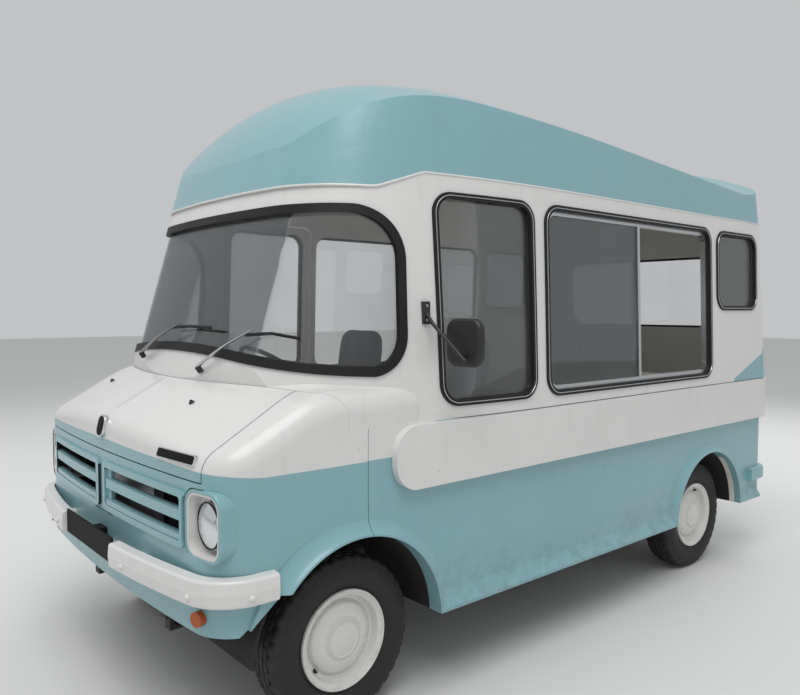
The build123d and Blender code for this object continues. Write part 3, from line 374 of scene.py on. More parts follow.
def cabinet_material():
    tree = Tree("cabinet")
    cloud = tree.noise(2.5, 4)
    tree.set(Base_Color=tree.mix(cloud, (0.58, 0.56, 0.50), (0.68, 0.66, 0.60)))
    tree.set(Roughness=tree.add(0.30, tree.times(tree.noise(30), 0.18)))
    tree.bump(tree.noise(160, 3), 0.10, 0.0005)
    return tree.material


def glass_material(name, tint, least, reach):
    """Thin clear glass: see-through, with a mirror's share that grows at a glancing view."""
    tree = Tree(name)
    gleam = tree.nodes.new("ShaderNodeFresnel")
    gleam.inputs["IOR"].default_value = 1.52
    haze = tree.times(tree.step(tree.noise(3.1, 5), 0.55, 0.35), 0.03)
    share = tree.math("ADD", tree.times(gleam.outputs[0], reach), tree.add(least, haze), clamp=True)
    share = tree.least(share, 0.85)
    tree.set(Base_Color=tree.mix(tree.noise(2.0), tint, tuple(c * 0.94 for c in tint)))
    tree.set(Metallic=1.0, Roughness=0.035, Alpha=share)
    tree.bump(tree.noise(1.2, 2), 0.05, 0.010)
    return tree.material


window_glass = glass_material("window_glass", (0.62, 0.64, 0.64), 0.03, 0.75)
screen_glass = glass_material("screen_glass", (0.58, 0.61, 0.62), 0.04, 0.75)
lens_glass = glass_material("lens_glass", (0.92, 0.94, 0.95), 0.10, 1.2)


def seat_cloth_material():
    """Dark grey vinyl with a fine pebbled grain and worn highlights."""
    tree = Tree("seat_cloth")
    grain = tree.cells(420)
    wear = tree.noise(6, 6, 0.6)
    tree.set(Base_Color=tree.mix(wear, (0.030, 0.030, 0.033), (0.062, 0.062, 0.066)))
    tree.set(Roughness=tree.add(0.42, tree.times(wear, 0.16)), Sheen_Weight=0.10)
    tree.bump(grain, 0.35, 0.0007)
    return tree.material


seat_cloth = seat_cloth_material()
cabinet_cream = cabinet_material()


def distance_from_axle(tree, axle_y):
    """How far a point lies from the wheel's axis."""
    dy = tree.less(tree.y, axle_y)
    dz = tree.less(tree.z, HUB_Z)
    return tree.math("SQRT", tree.add(tree.times(dy, dy), tree.times(dz, dz)))


def wheel_material(name, axle_y):
    """White wheel enamel, with rust at the flange, and painted shade in a groove, along the hub cap's edge
    and on the wheel's inner part.
    """
    tree = Tree(name)
    radius = distance_from_axle(tree, axle_y)
    fine = tree.noise(38, 6, 0.65)
    speck = tree.step(fine, 0.60, 0.18)
    rim_dirt = tree.times(tree.step(radius, 0.172, 0.02), speck)
    # Painted shade: thin dark rings in the hub cap's groove and along its rolled edge
    groove = tree.times(tree.near(radius, 0.074, 0.006, 0.005), 0.12)
    hub_edge = tree.times(tree.near(radius, 0.141, 0.008, 0.008), 0.16)
    rust_and_shade = tree.most(tree.times(rim_dirt, 0.30), tree.most(groove, hub_edge))
    # Painted shade: the wheel's inner part, deeper in the dish, is darker
    inner_shade = tree.inverse(tree.step(tree.size(tree.x), 0.838, 0.01))
    base = tree.mix(tree.noise(5), (0.66, 0.65, 0.61), (0.72, 0.71, 0.67))
    colour = tree.mix(tree.most(rust_and_shade, tree.times(inner_shade, 0.35)), base, (0.13, 0.10, 0.075))
    tree.set(Base_Color=colour, Roughness=tree.add(0.26, tree.times(speck, 0.3)))
    tree.set(Coat_Weight=0.25, Coat_Roughness=0.15)
    tree.bump(fine, 0.12, 0.0006)
    return tree.material


def tyre_material(name, axle_y):
    """Weathered rubber: dusty tread, darker side walls with fine rings."""
    tree = Tree(name)
    radius = distance_from_axle(tree, axle_y)
    rings = tree.math("SINE", tree.times(radius, 1500.0))
    dust = tree.times(tree.step(radius, 0.305, 0.03), tree.step(tree.noise(22, 6), 0.48, 0.3))
    cloud = tree.noise(9, 6, 0.65)
    colour = tree.mix(cloud, (0.0095, 0.0090, 0.0090), (0.021, 0.0195, 0.0185))
    colour = tree.mix(tree.times(dust, 0.30), colour, (0.085, 0.076, 0.068))
    tree.set(Base_Color=colour, Roughness=tree.add(0.55, tree.times(cloud, 0.25)))
    wall_only = tree.inverse(tree.step(radius, 0.300, 0.01))
    tree.bump(tree.times(rings, wall_only), 0.16, 0.0008)
    tree.bump(tree.noise(160, 4), 0.25, 0.0008)
    return tree.material


def dress(material, *names):
    """Give CAD nodes their material."""
    for name in names:
        mesh = nodes[name].data
        mesh.materials.clear()
        mesh.materials.append(material)


dress(paint_roof, "roof")
dress(paint_upper, "left_upper_side", "right_upper_side", "windscreen_surround")
dress(paint_lower, "left_lower_side", "right_lower_side", "driver_door")
dress(paint_rear, "rear_panel")
dress(paint_bonnet, "bonnet")
dress(paint_nose, "left_wing", "right_wing", "front_valance", "grille")
dress(paint_white, "headlamp_bezels", "front_bumper")
dress(paint_teal, "rear_bumper")
dress(rubber, "window_seals", "door_seal")
dress(screen_glass, "windscreen")
dress(window_glass, "body_windows", "door_window", "serving_panes")
dress(aluminium, "serving_frame")
dress(black_plastic, "left_mirror", "right_mirror", "steering_wheel", "steering_column")
dress(plate_black, "number_plates")
dress(amber, "front_indicators")
dress(red_lens, "tail_lamps")
dress(chassis_black, "chassis_frame", "front_suspension", "rear_axle", "rear_springs")
dress(chassis_black, "left_knuckle", "right_knuckle")
dress(liner_black, "wheel_arch_liners")
dress(cast_iron, "engine")
dress(dull_metal, "radiator")
dress(exhaust_steel, "exhaust")
dress(tank_grey, "fuel_tank")
dress(floor_grey, "floor")
dress(interior_grey, "dashboard", "seat_bases")
dress(cabinet_cream, "cabinet", "counter")


def finish_mesh(mesh_or_bm, name, material, body, slot, smooth=True):
    """Make an object of a bmesh, shade it, and let it ride on a body."""
    mesh = bpy.data.meshes.new(name)
    mesh_or_bm.to_mesh(mesh)
    mesh_or_bm.free()
    if smooth:
        for polygon in mesh.polygons:
            polygon.use_smooth = True
        mesh.set_sharp_from_angle(angle=radians(38))
    mesh.materials.append(material)
    piece = bpy.data.objects.new(name, mesh)
    bpy.context.scene.collection.objects.link(piece)
    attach(piece, body)
    return piece


def add_rings(bm, rings, closed_path=False, caps=True):
    """Skin a list of point rings; the path may close on itself."""
    rows = [[bm.verts.new(p) for p in ring] for ring in rings]
    count = len(rows[0])
    pairs = list(zip(rows, rows[1:]))
    if closed_path:
        pairs.append((rows[-1], rows[0]))
    for first, second in pairs:
        for i in range(count):
            j = (i + 1) % count
            bm.faces.new((first[i], first[j], second[j], second[i]))
    if caps and not closed_path:
        bm.faces.new(rows[0][::-1])
        bm.faces.new(rows[-1])


def path_frames(points, closed):
    """A side and an up direction at each point of a path, carried along without twisting."""
    count = len(points)
    tangents = []
    for i in range(count):
        before = points[i - 1] if closed or i > 0 else points[i]
        after = points[(i + 1) % count] if closed or i < count - 1 else points[i]
        tangents.append((after - before).normalized())
    guide = Vector((0, 0, 1)) if abs(tangents[0].z) < 0.9 else Vector((0, 1, 0))
    up = (guide - tangents[0] * guide.dot(tangents[0])).normalized()
    frames = []
    for tangent in tangents:
        up = (up - tangent * up.dot(tangent)).normalized()
        frames.append((tangent.cross(up), up))
    return frames


def add_tube(bm, points, radius, sides=10, closed=False, flatten=1.0):
    """A round bar along points; radius may be a list, one for each point."""
    points = [Vector(p) for p in points]
    frames = path_frames(points, closed)
    rings = []
    for i, (point, (side, up)) in enumerate(zip(points, frames)):
        r = radius[i] if isinstance(radius, (list, tuple)) else radius
        angles = [2 * pi * k / sides for k in range(sides)]
        rings.append([point + side * (r * cos(a)) + up * (r * flatten * sin(a)) for a in angles])
    add_rings(bm, rings, closed)


def add_hoop(bm, centre, across, up, hoop_radius, bar_radius, sides):
    """A round bar bent into a circle."""
    centre, across, up = Vector(centre), Vector(across), Vector(up)
    angles = [2 * pi * k / 72 for k in range(72)]
    circle = [centre + across * (hoop_radius * cos(a)) + up * (hoop_radius * sin(a)) for a in angles]
    add_tube(bm, circle, bar_radius, sides, closed=True)


def add_lathe(bm, profile, centre, axis, segments=48):
    """Turn a profile of (distance along the axis, radius) about an axis through the centre."""
    axis = Vector(axis).normalized()
    guide = Vector((0, 0, 1)) if abs(axis.z) < 0.9 else Vector((1, 0, 0))
    side = axis.cross(guide).normalized()
    up = axis.cross(side)
    centre = Vector(centre)
    rings = []
    for along, radius in profile:
        base = centre + axis * along
        angles = [2 * pi * k / segments for k in range(segments)]
        rings.append([base + side * (radius * cos(a)) + up * (radius * sin(a)) for a in angles])
    add_rings(bm, rings)


def rounded_rectangle(half_width, half_height, radius, corner_steps=8):
    """Points of a rounded rectangle about the origin, as (across, up)."""
    points = []
    for quarter in range(4):
        sign_x, sign_y = ((1, 1), (-1, 1), (-1, -1), (1, -1))[quarter]
        cx, cy = sign_x * (half_width - radius), sign_y * (half_height - radius)
        for k in range(corner_steps + 1):
            angle = pi / 2 * (quarter + k / corner_steps)
            points.append((cx + radius * cos(angle), cy + radius * sin(angle)))
    return points


def add_pad(bm, centre, across, up, half_width, half_height, thickness, corner, crown=0.0, edge=0.002):
    """A rounded plate standing off a surface: its outline, soft edge and slightly crowned face."""
    centre, across, up = Vector(centre), Vector(across).normalized(), Vector(up).normalized()
    out = across.cross(up)
    stages = [(0.0, 0.0), (0.0, thickness - edge), (edge * 0.3, thickness - edge * 0.3), (edge, thickness)]
    if crown:
        stages += [(corner * 0.45, thickness + crown * 0.6), (corner * 0.8, thickness + crown)]
    rings = []
    for inset, height in stages:
        outline = rounded_rectangle(half_width - inset, half_height - inset, max(corner - inset, 0.0006))
        rings.append([centre + across * a + up * b + out * height for a, b in outline])
    add_rings(bm, rings)


def add_block(bm, low, high, bevel=0.003, segments=2):
    """A box between two corners with rounded edges."""
    low, high = Vector(low), Vector(high)
    made = bmesh.ops.create_cube(bm, size=1.0)
    bmesh.ops.scale(bm, vec=high - low, verts=made["verts"])
    bmesh.ops.translate(bm, vec=(low + high) / 2, verts=made["verts"])
    edges = {edge for vert in made["verts"] for edge in vert.link_edges}
    bmesh.ops.bevel(bm, geom=list(edges), offset=bevel, segments=segments, affect="EDGES", profile=0.5)


def tree_of(*names):
    """Search tree of CAD nodes, to find where a straight line meets them."""
    verts, faces = [], []
    for name in names:
        mesh = nodes[name].data
        start = len(verts)
        verts += [v.co.copy() for v in mesh.vertices]
        faces += [[start + i for i in p.vertices] for p in mesh.polygons]
    return BVHTree.FromPolygons(verts, faces)


def cast(tree, origin, direction):
    """Where a line first meets the tree: (point, normal against the line)."""
    direction = Vector(direction).normalized()
    point, normal, _, _ = tree.ray_cast(Vector(origin), direction)
    if point is None:
        raise ValueError(f"nothing is met from {tuple(origin)}")
    return point, -normal if normal.dot(direction) > 0 else normal


nose_tree = tree_of("bonnet", "left_wing", "right_wing", "grille", "front_valance")
seal_tree = tree_of("window_seals")
door_seal_tree = tree_of("door_seal")
bumper_tree = tree_of("front_bumper")

# Headlamps' places
LAMP_X, LAMP_Y, LAMP_Z = 0.842, fy(-536), 0.865

# White bead along the line where the roof meets the body
BEAD_RADIUS, BEAD_STEP = 0.0055, 0.012
UNDER_SLOPE, OUTER_SLOPE = -0.35, -0.3


def roof_edge():
    """Points in order round the roof's lower edge, where its outside turns under."""
    rim = bmesh.new()
    rim.from_mesh(nodes["roof"].data)
    bmesh.ops.remove_doubles(rim, verts=rim.verts, dist=0.0002)
    rim.normal_update()
    beside = {}
    for edge in rim.edges:
        if len(edge.link_faces) != 2:
            continue
        under, outer = sorted(edge.link_faces, key=lambda face: face.normal.z)
        outward = Vector((edge.verts[0].co.x, edge.verts[0].co.y * 0.3, 0))
        turns_under = under.normal.z < UNDER_SLOPE and outer.normal.z > OUTER_SLOPE
        if turns_under and outer.normal.dot(outward) > 0:
            for first, second in (edge.verts, reversed(edge.verts)):
                beside.setdefault(first, []).append(second)
    walk = [max(beside, key=lambda vert: (vert.co.x, -vert.co.y))]
    previous = None
    while len(walk) == 1 or walk[-1] is not walk[0]:
        onward = [vert for vert in beside[walk[-1]] if vert is not previous]
        if not onward:
            break
        previous = walk[-1]
        walk.append(onward[0])
    points = [walk[0].co.copy()]
    for vert in walk[1:-1]:
        if (vert.co - points[-1]).length > BEAD_STEP:
            points.append(vert.co.copy())
    rim.free()
    return points


bm = bmesh.new()
add_tube(bm, roof_edge(), BEAD_RADIUS, 8, closed=True)
finish_mesh(bm, "roof_bead", paint_white, "body", "cream_moulding")

# Tyres with ribbed tread and slotted shoulders. Columns: distance from the wheel's middle, radius
tyre_profile = [
    (-0.0630, 0.1785), (-0.0695, 0.1970), (-0.0745, 0.2040), (-0.0800, 0.2150), (-0.0862, 0.2320),
    (-0.0892, 0.2500), (-0.0893, 0.2680), (-0.0868, 0.2850), (-0.0845, 0.2925), (-0.0830, 0.2960),
    (-0.0795, 0.3050), (-0.0760, 0.3130), (-0.0700, 0.3190), (-0.0620, 0.3225), (-0.0500, 0.3236),
    (-0.0450, 0.3238), (-0.0435, 0.3165), (-0.0385, 0.3165), (-0.0370, 0.3242), (-0.0190, 0.3248),
    (-0.0175, 0.3170), (-0.0125, 0.3170), (-0.0110, 0.3249), (0.0, 0.3250),
]
tyre_profile += [(-x, r) for x, r in reversed(tyre_profile[:-1])]
TYRE_SEGMENTS = 228
BLOCK_SEGMENTS = 6
# Profile points that slots cut into, and the slots' depth
SHOULDER_POINTS, SHOULDER_SLOT = {8, 9, 10, 11, 12}, 0.0052
EDGE_RIB_POINTS, EDGE_SLOT = {13, 14, 15}, 0.0060
INNER_RIB_POINTS, INNER_SLOT = {18, 19}, 0.0035


def tyre_radius_at(index, segment, radius):
    """Radius of a profile point at a segment, with slots cut into the shoulder and notches in the ribs."""
    mirrored = len(tyre_profile) - 1 - index
    place = min(index, mirrored)
    stagger = 0 if index <= mirrored else BLOCK_SEGMENTS // 2
    phase = (segment + stagger) % BLOCK_SEGMENTS
    if place in SHOULDER_POINTS and phase in (0, 1):
        return radius - SHOULDER_SLOT
    if place in EDGE_RIB_POINTS and phase in (0, 1):
        return radius - EDGE_SLOT
    if place in INNER_RIB_POINTS and phase == BLOCK_SEGMENTS // 2:
        return radius - INNER_SLOT
    return radius


def build_tyre(name, sign, axle_y, body):
    bm = bmesh.new()
    rings = []
    for segment in range(TYRE_SEGMENTS):
        angle = 2 * pi * segment / TYRE_SEGMENTS
        ring = []
        for index, (x, radius) in enumerate(tyre_profile):
            r = tyre_radius_at(index, segment, radius)
            ring.append(Vector((sign * (WHEEL_X + x), axle_y + r * cos(angle), HUB_Z + r * sin(angle))))
        rings.append(ring)
    add_rings(bm, rings, closed_path=True)
    bmesh.ops.recalc_face_normals(bm, faces=bm.faces)
    piece = finish_mesh(bm, f"{name}_tread_tyre", tyre_material(f"{name}_rubber", axle_y), body, "tyre")
    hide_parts(f"{name}_tyre")


# Pressed hub cap: rounded shoulder, wide disc, groove, ridge and shallow dome
# Columns: distance out from the wheel's middle, radius
CAP_PROFILE = [
    (0.0362, 0.1418), (0.0385, 0.1432), (0.0425, 0.1425), (0.0480, 0.1375), (0.0545, 0.1290),
    (0.0605, 0.1190), (0.0655, 0.1080), (0.0690, 0.0980), (0.0708, 0.0910), (0.0712, 0.0885),
    (0.0690, 0.0866), (0.0682, 0.0840), (0.0715, 0.0785), (0.0755, 0.0725), (0.0768, 0.0695),
    (0.0765, 0.0670), (0.0742, 0.0645), (0.0738, 0.0622), (0.0748, 0.0580), (0.0775, 0.0460),
    (0.0805, 0.0250), (0.0818, 0.0080), (0.0820, 0.0008),
]
VALVE_RADIUS = 0.154
VALVE_TURN = {FRONT_AXLE: 3.836, REAR_AXLE: 1.1}
# Distance out from the wheel's middle, radius, thickness
CAP_EDGE = (0.0385, 0.1425, 0.0042)
RIM_FLANGE = (0.0795, 0.1905, 0.0052)


def build_wheel_trim(name, sign, axle_y, body):
    """Valve, pressed hub cap with its rolled edge, and the rim's rolled flange."""
    bm = bmesh.new()
    face = sign * WHEEL_X
    turn = VALVE_TURN[axle_y]
    y, z = axle_y + VALVE_RADIUS * cos(turn), HUB_Z + VALVE_RADIUS * sin(turn)
    add_tube(bm, [(face + sign * x, y, z) for x in (0.038, 0.050, 0.060)], [0.0075, 0.0055, 0.0038], 12)
    finish_mesh(bm, f"{name}_valve", rubber, body, "black_rubber")
    bm = bmesh.new()
    for out, radius, thickness in (CAP_EDGE, RIM_FLANGE):
        add_hoop(bm, (face + sign * out, axle_y, HUB_Z), (0, 1, 0), (0, 0, 1), radius, thickness, 10)
    add_lathe(bm, CAP_PROFILE, (face, axle_y, HUB_Z), (sign, 0, 0), 96)
    enamel = wheel_material(f"{name}_trim_enamel", axle_y)
    finish_mesh(bm, f"{name}_rolled_edges", enamel, body, "wheel_paint")


for end, axle_y in (("front", FRONT_AXLE), ("rear", REAR_AXLE)):
    for side, sign in (("left", 1), ("right", -1)):
        wheel = f"{end}_{side}"
        build_tyre(wheel, sign, axle_y, f"{wheel}_wheel")
        build_wheel_trim(wheel, sign, axle_y, f"{wheel}_wheel")
        dress(wheel_material(f"{wheel}_enamel", axle_y), f"{wheel}_rim")

# Headlamps. Columns of the profiles: distance behind the lamp's rim, radius
BOWL_PROFILE = [
    (0.002, 0.0790), (0.004, 0.0745), (0.012, 0.0700), (0.024, 0.0620), (0.038, 0.0480), (0.050, 0.0320),
    (0.056, 0.0140), (0.060, 0.0140), (0.066, 0.0300), (0.048, 0.0560), (0.026, 0.0700), (0.008, 0.0805),
    (0.002, 0.0810),
]
BULB_PROFILE = [(0.020, 0.002), (0.021, 0.007), (0.032, 0.009), (0.050, 0.008), (0.056, 0.006)]
LENS_RADIUS, LENS_DOME, LENS_GLASS = 0.0775, 0.0200, 0.0035
LENS_RINGS, LENS_POINTS = 22, 96
FLUTE_DEPTH, FLUTES = 0.0009, 330


def lens_rings(centre):
    """Rings of the fluted lens: its front from the middle to the edge, and its back again."""
    rings = []
    for k in range(LENS_RINGS + 1):
        share = k / LENS_RINGS
        radius = 0.0010 + LENS_RADIUS * share
        dome = -0.0015 - LENS_DOME * (1 - share ** 2.2)
        ring = []
        for j in range(LENS_POINTS):
            angle = 2 * pi * j / LENS_POINTS
            across, up = radius * cos(angle), radius * sin(angle)
            flute = FLUTE_DEPTH * abs(sin(across * FLUTES)) if share < 0.95 else 0.0
            ring.append(centre + Vector((across, dome + flute, up)))
        rings.append(ring)
    edge = [[p + Vector((0, 0.003, 0)) for p in rings[-1]]]
    behind = [[p + Vector((0, LENS_GLASS, 0)) for p in ring] for ring in reversed(rings[:-1])]
    return rings + edge + behind


def build_headlamp(side, sign):
    """Polished bowl, bulb, fluted lens and a rubber ring."""
    centre = Vector((sign * LAMP_X, LAMP_Y, LAMP_Z))
    bm = bmesh.new()
    add_lathe(bm, BOWL_PROFILE, centre, (0, 1, 0), 64)
    bowl_piece = finish_mesh(bm, f"{side}_lamp_bowl", chrome, "body", "lamp_glass")
    bm = bmesh.new()
    add_lathe(bm, BULB_PROFILE, centre, (0, 1, 0), 20)
    finish_mesh(bm, f"{side}_lamp_bulb", dial_white, "body", "lamp_glass")
    bm = bmesh.new()
    add_rings(bm, lens_rings(centre))
    finish_mesh(bm, f"{side}_lamp_lens", lens_glass, "body", "lamp_glass")
    bm = bmesh.new()
    add_hoop(bm, centre + Vector((0, -0.002, 0)), (1, 0, 0), (0, 0, 1), 0.0795, 0.0030, 8)
    finish_mesh(bm, f"{side}_lamp_ring", rubber, "body", "black_rubber")
    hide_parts("headlamps")


build_headlamp("left", 1)
build_headlamp("right", -1)

# Round-headed bolts that hold the bumper halves
# Columns: X and Y where a line towards the bumper starts, and how far it runs inwards for each metre back
BUMPER_BOLTS = [(0.400, fy(-900), 0.0), (0.840, fy(-900), 0.0), (1.500, fy(-711), 2.0)]
BUMPER_BOLT_Z = 0.636
BUMPER_BOLT_PROFILE = [
    (-0.003, 0.0125), (0.0015, 0.0125), (0.0055, 0.0100), (0.0080, 0.0050), (0.0086, 0.0006),
]
for side, sign in (("left", 1), ("right", -1)):
    bm = bmesh.new()
    for x, y, inwards in BUMPER_BOLTS:
        point, normal = cast(bumper_tree, (sign * x, y, BUMPER_BOLT_Z), (-sign * inwards, 1, 0))
        add_lathe(bm, BUMPER_BOLT_PROFILE, point, normal, 20)
    finish_mesh(bm, f"{side}_bumper_bolts", paint_white, "body", "cream_paint")


def build_plate(name, x, z, frame, field):
    """A blank plate on the bonnet's front: a bright frame and a black field, each as add_pad's sizes."""
    point, normal = cast(nose_tree, (x, fy(-900), z), (0, 1, 0))
    level = Vector((0, 0, 1)).cross(-normal).normalized()
    level = level if level.x > 0 else -level
    across = level if x else Vector((1, 0, 0))
    upward = normal.cross(across)
    upward = upward if upward.z > 0 else -upward
    layers = (("plate", chrome, "bright_frame", frame), ("field", plate_black, "black_trim", field))
    for layer, material, slot, (lift, *sizes) in layers:
        bm = bmesh.new()
        add_pad(bm, point + normal * lift, across, upward, *sizes)
        finish_mesh(bm, f"bonnet_{name}_{layer}", material, "bonnet", slot)


# Columns: lift off the bonnet, half width, half height, thickness, corner, crown
build_plate("oval", 0.0, 1.112, (-0.003, 0.0400, 0.0480, 0.0130, 0.034, 0.001),
            (0.0095, 0.0325, 0.0405, 0.0022, 0.027))
build_plate("long", 0.672, 1.083, (-0.004, 0.1300, 0.0200, 0.0100, 0.012),
            (0.0054, 0.1250, 0.0155, 0.0020, 0.008))

# Screen-wash jets
JET_PROFILE = [(-0.002, 0.0120), (0.003, 0.0120), (0.006, 0.0080), (0.012, 0.0060), (0.013, 0.0010)]
bm = bmesh.new()
for x, y in ((-0.583, fy(-355)), (0.427, fy(-401))):
    point, normal = cast(nose_tree, (x, y, 2.0), (0, 0, -1))
    add_lathe(bm, JET_PROFILE, point, normal, 18)
finish_mesh(bm, "washer_jets", black_plastic, "bonnet", "black_trim")

# Wipers. Columns: pivot, elbow, blade start, blade middle, blade end
NEAR_WIPER = [
    (0.282, fy(-306), 1.361), (0.604, fy(-226), 1.520),
    (0.547, fy(-234), 1.499), (0.658, fy(-175), 1.507), (0.740, fy(-101), 1.488),
]
FAR_WIPER = [
    (-0.343, fy(-300), 1.391), (0.063, fy(-276), 1.542),
    (-0.086, fy(-261), 1.517), (0.109, fy(-258), 1.526), (0.310, fy(-257), 1.524),
]
PIVOT_PROFILE = [(-0.024, 0.012), (-0.010, 0.013), (0.002, 0.013), (0.006, 0.010), (0.007, 0.001)]
ARM_STEPS = 10
ARM_RADIUS, ARM_TAPER, ARM_BOW = 0.0120, 0.0065, 0.010
BLADE_RADIUS, EDGE_RADIUS, CLAW_RADIUS = 0.0042, 0.0024, 0.0030
OFF_SCREEN = Vector((0, -0.55, 0.83)).normalized()


def build_wiper(name, metal, points):
    """Pivot, tapering arm, and a rubber blade in its claws."""
    pivot, elbow, start, middle, end = (Vector(p) for p in points)
    bm = bmesh.new()
    add_lathe(bm, PIVOT_PROFILE, pivot, OFF_SCREEN, 24)
    finish_mesh(bm, f"{name}_wiper_pivot", black_plastic, "body", "black_trim")
    bm = bmesh.new()
    shares = [k / ARM_STEPS for k in range(ARM_STEPS + 1)]
    line = [pivot.lerp(elbow, share) + OFF_SCREEN * (ARM_BOW * sin(pi * share) + 0.003) for share in shares]
    add_tube(bm, line, [ARM_RADIUS - ARM_TAPER * share for share in shares], 10, flatten=0.45)
    arm = finish_mesh(bm, f"{name}_wiper_arm", metal, "body", "black_trim")
    bm = bmesh.new()
    blade = [start.lerp(middle, k / 6) for k in range(7)] + [middle.lerp(end, k / 6) for k in range(1, 7)]
    add_tube(bm, [p + OFF_SCREEN * 0.004 for p in blade], BLADE_RADIUS, 8)
    add_tube(bm, [p - OFF_SCREEN * 0.004 for p in blade], EDGE_RADIUS, 6)
    for k in (1, 4, 8, 11):
        add_tube(bm, [blade[k] - OFF_SCREEN * 0.003, blade[k] + OFF_SCREEN * 0.010], CLAW_RADIUS, 6)
    finish_mesh(bm, f"{name}_wiper_blade", rubber, "body", "black_trim")
    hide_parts("wipers")


build_wiper("near", aluminium, NEAR_WIPER)
# The far arm is given the darker dull metal, a shaded copy of the near arm's aluminium: painted shade
build_wiper("far", dull_metal, FAR_WIPER)

# Bright strips in the window seals
# Columns: start and end behind the front axle, bottom, top, in millimetres
side_window_outlines = {
    "cab": (440, 1020, 1198, 2093),
    "quarter": (2745, 3290, 1598, 2087),
    "serving": (1090, 2680, 1195, 2093),
}
WINDOW_CORNER = 0.095
STRIP_STEP = 0.05


def side_outline(name, inset):
    """Points along a side window's edge, close enough together to follow the body's curve."""
    start, end, bottom, top = side_window_outlines[name]
    half_length, half_height = (end - start) / 2000 - inset, (top - bottom) / 2000 - inset
    outline = rounded_rectangle(half_length, half_height, WINDOW_CORNER - inset, 10)
    middle_y, middle_z = fy((start + end) / 2), (top + bottom) / 2000
    dense = []
    for (a0, b0), (a1, b1) in zip(outline, outline[1:] + outline[:1]):
        count = max(1, int(hypot(a1 - a0, b1 - b0) / STRIP_STEP))
        dense += [(a0 + (a1 - a0) * k / count, b0 + (b1 - b0) * k / count) for k in range(count)]
    return [(middle_y + a, middle_z + b) for a, b in dense]


def seal_strip(name, window, sign, tree, body, inset=0.0135, radius=0.0021):
    bm = bmesh.new()
    path = []
    for y, z in side_outline(window, inset):
        point, _ = cast(tree, (sign * 1.4, y, z), (-sign, 0, 0))
        path.append(point + Vector((sign * 0.0008, 0, 0)))
    add_tube(bm, path, radius, 8, closed=True)
    return finish_mesh(bm, name, aluminium, body, "bright_frame")


for window in side_window_outlines:
    seal_strip(f"left_{window}_seal_strip", window, 1, seal_tree, "body")
    if window != "cab":
        seal_strip(f"right_{window}_seal_strip", window, -1, seal_tree, "body")
seal_strip("door_seal_strip", "cab", -1, door_seal_tree, "driver_door")

# Mirror glasses and the bolts of their plates. Columns: side, sign, the post's Y, body
MIRRORS = [("left", 1, fy(384), "body"), ("right", -1, fy(428), "driver_door")]
MIRROR_X, MIRROR_Z, MIRROR_BACK = 1.096, 1.470, 0.067
MIRROR_HALF, MIRROR_CORNER = 0.086, 0.044
MIRROR_BOLT_PROFILE = [(-0.002, 0.0065), (0.002, 0.0065), (0.0045, 0.0040), (0.0050, 0.0006)]
for side, sign, post_y, body in MIRRORS:
    bm = bmesh.new()
    centre = (sign * MIRROR_X, post_y + MIRROR_BACK, MIRROR_Z)
    add_pad(bm, centre, (-1, 0, 0), (0, 0, 1), MIRROR_HALF, MIRROR_HALF, 0.0025, MIRROR_CORNER)
    finish_mesh(bm, f"{side}_mirror_glass", chrome, body, "mirror_black")
    bm = bmesh.new()
    for z in (1.558, 1.616):
        add_lathe(bm, MIRROR_BOLT_PROFILE, (sign * 0.936, post_y, z), (sign, 0, 0), 16)
    finish_mesh(bm, f"{side}_mirror_bolts", dull_metal, body, "black_trim")

# Door handle: a round base and a tapering lever
HANDLE_BASE = [(-0.004, 0.020), (0.008, 0.020), (0.011, 0.016)]
HANDLE_LEVER = [
    (-1.014, fy(985), 1.075), (-1.028, fy(975), 1.075), (-1.032, fy(900), 1.078), (-1.026, fy(880), 1.078),
]
bm = bmesh.new()
add_lathe(bm, HANDLE_BASE, (-1.004, fy(985), 1.075), (-1, 0, 0), 28)
add_tube(bm, HANDLE_LEVER, [0.0085, 0.0085, 0.0065, 0.0060], 12)
finish_mesh(bm, "door_handle", chrome, "driver_door", "bright_frame")

# Seats: sewn cushions in place of the plain solids
SEAT_X = 0.430
# Distance behind the front axle, height, half sizes, corner, crown, tilt
SQUAB = (835, 0.913, (0.205, 0.232, 0.052), 0.10, 0.020, radians(-2.8))
BACK = (1070, 1.222, (0.200, 0.262, 0.044), 0.16, 0.016, radians(82.3))
CHANNELS, CHANNEL_DEPTH, SIDE_PULL = 3, 0.0055, 0.035


def cushion(name, centre, half, corner, crown, tilt):
    """A sewn pad: rounded plan, crowned faces and three fluted channels."""
    cx, cy, cz = half
    columns, rows = 26, 22
    bm = bmesh.new()
    turn = Matrix.Translation(Vector(centre)) @ Matrix.Rotation(tilt, 4, "X")

    def surface(u, v, face):
        fall = max(abs(u), abs(v))
        edge = sqrt(max(0.0, 1 - fall ** 6))
        pull = 1 - SIDE_PULL * ((1 - u * u) * abs(v) ** 8 + (1 - v * v) * abs(u) ** 8)
        sewn = fall < 0.86 and face > 0
        flute = CHANNEL_DEPTH * abs(sin(pi * CHANNELS * (u + 1) / 2)) ** 0.5 if sewn else 0.0
        height = (cz - crown) * edge ** 0.6 + crown * (1 - u * u) * (1 - v * v) + flute
        rounded_u = u * (1 - corner * abs(v) ** 6)
        rounded_v = v * (1 - corner * abs(u) ** 6)
        return turn @ Vector((cx * rounded_u * pull, cy * rounded_v * pull, face * height))

    grids = {}
    for face in (1, -1):
        grid = []
        for i in range(columns + 1):
            u = -cos(pi * i / columns)
            grid.append([bm.verts.new(surface(u, -cos(pi * j / rows), face)) for j in range(rows + 1)])
        grids[face] = grid
        for i in range(columns):
            for j in range(rows):
                quad = [grid[i][j], grid[i + 1][j], grid[i + 1][j + 1], grid[i][j + 1]]
                bm.faces.new(quad if face > 0 else quad[::-1])
    bmesh.ops.remove_doubles(bm, verts=bm.verts, dist=0.0004)
    bmesh.ops.recalc_face_normals(bm, faces=bm.faces)
    return finish_mesh(bm, name, seat_cloth, "body", "seat_cloth")


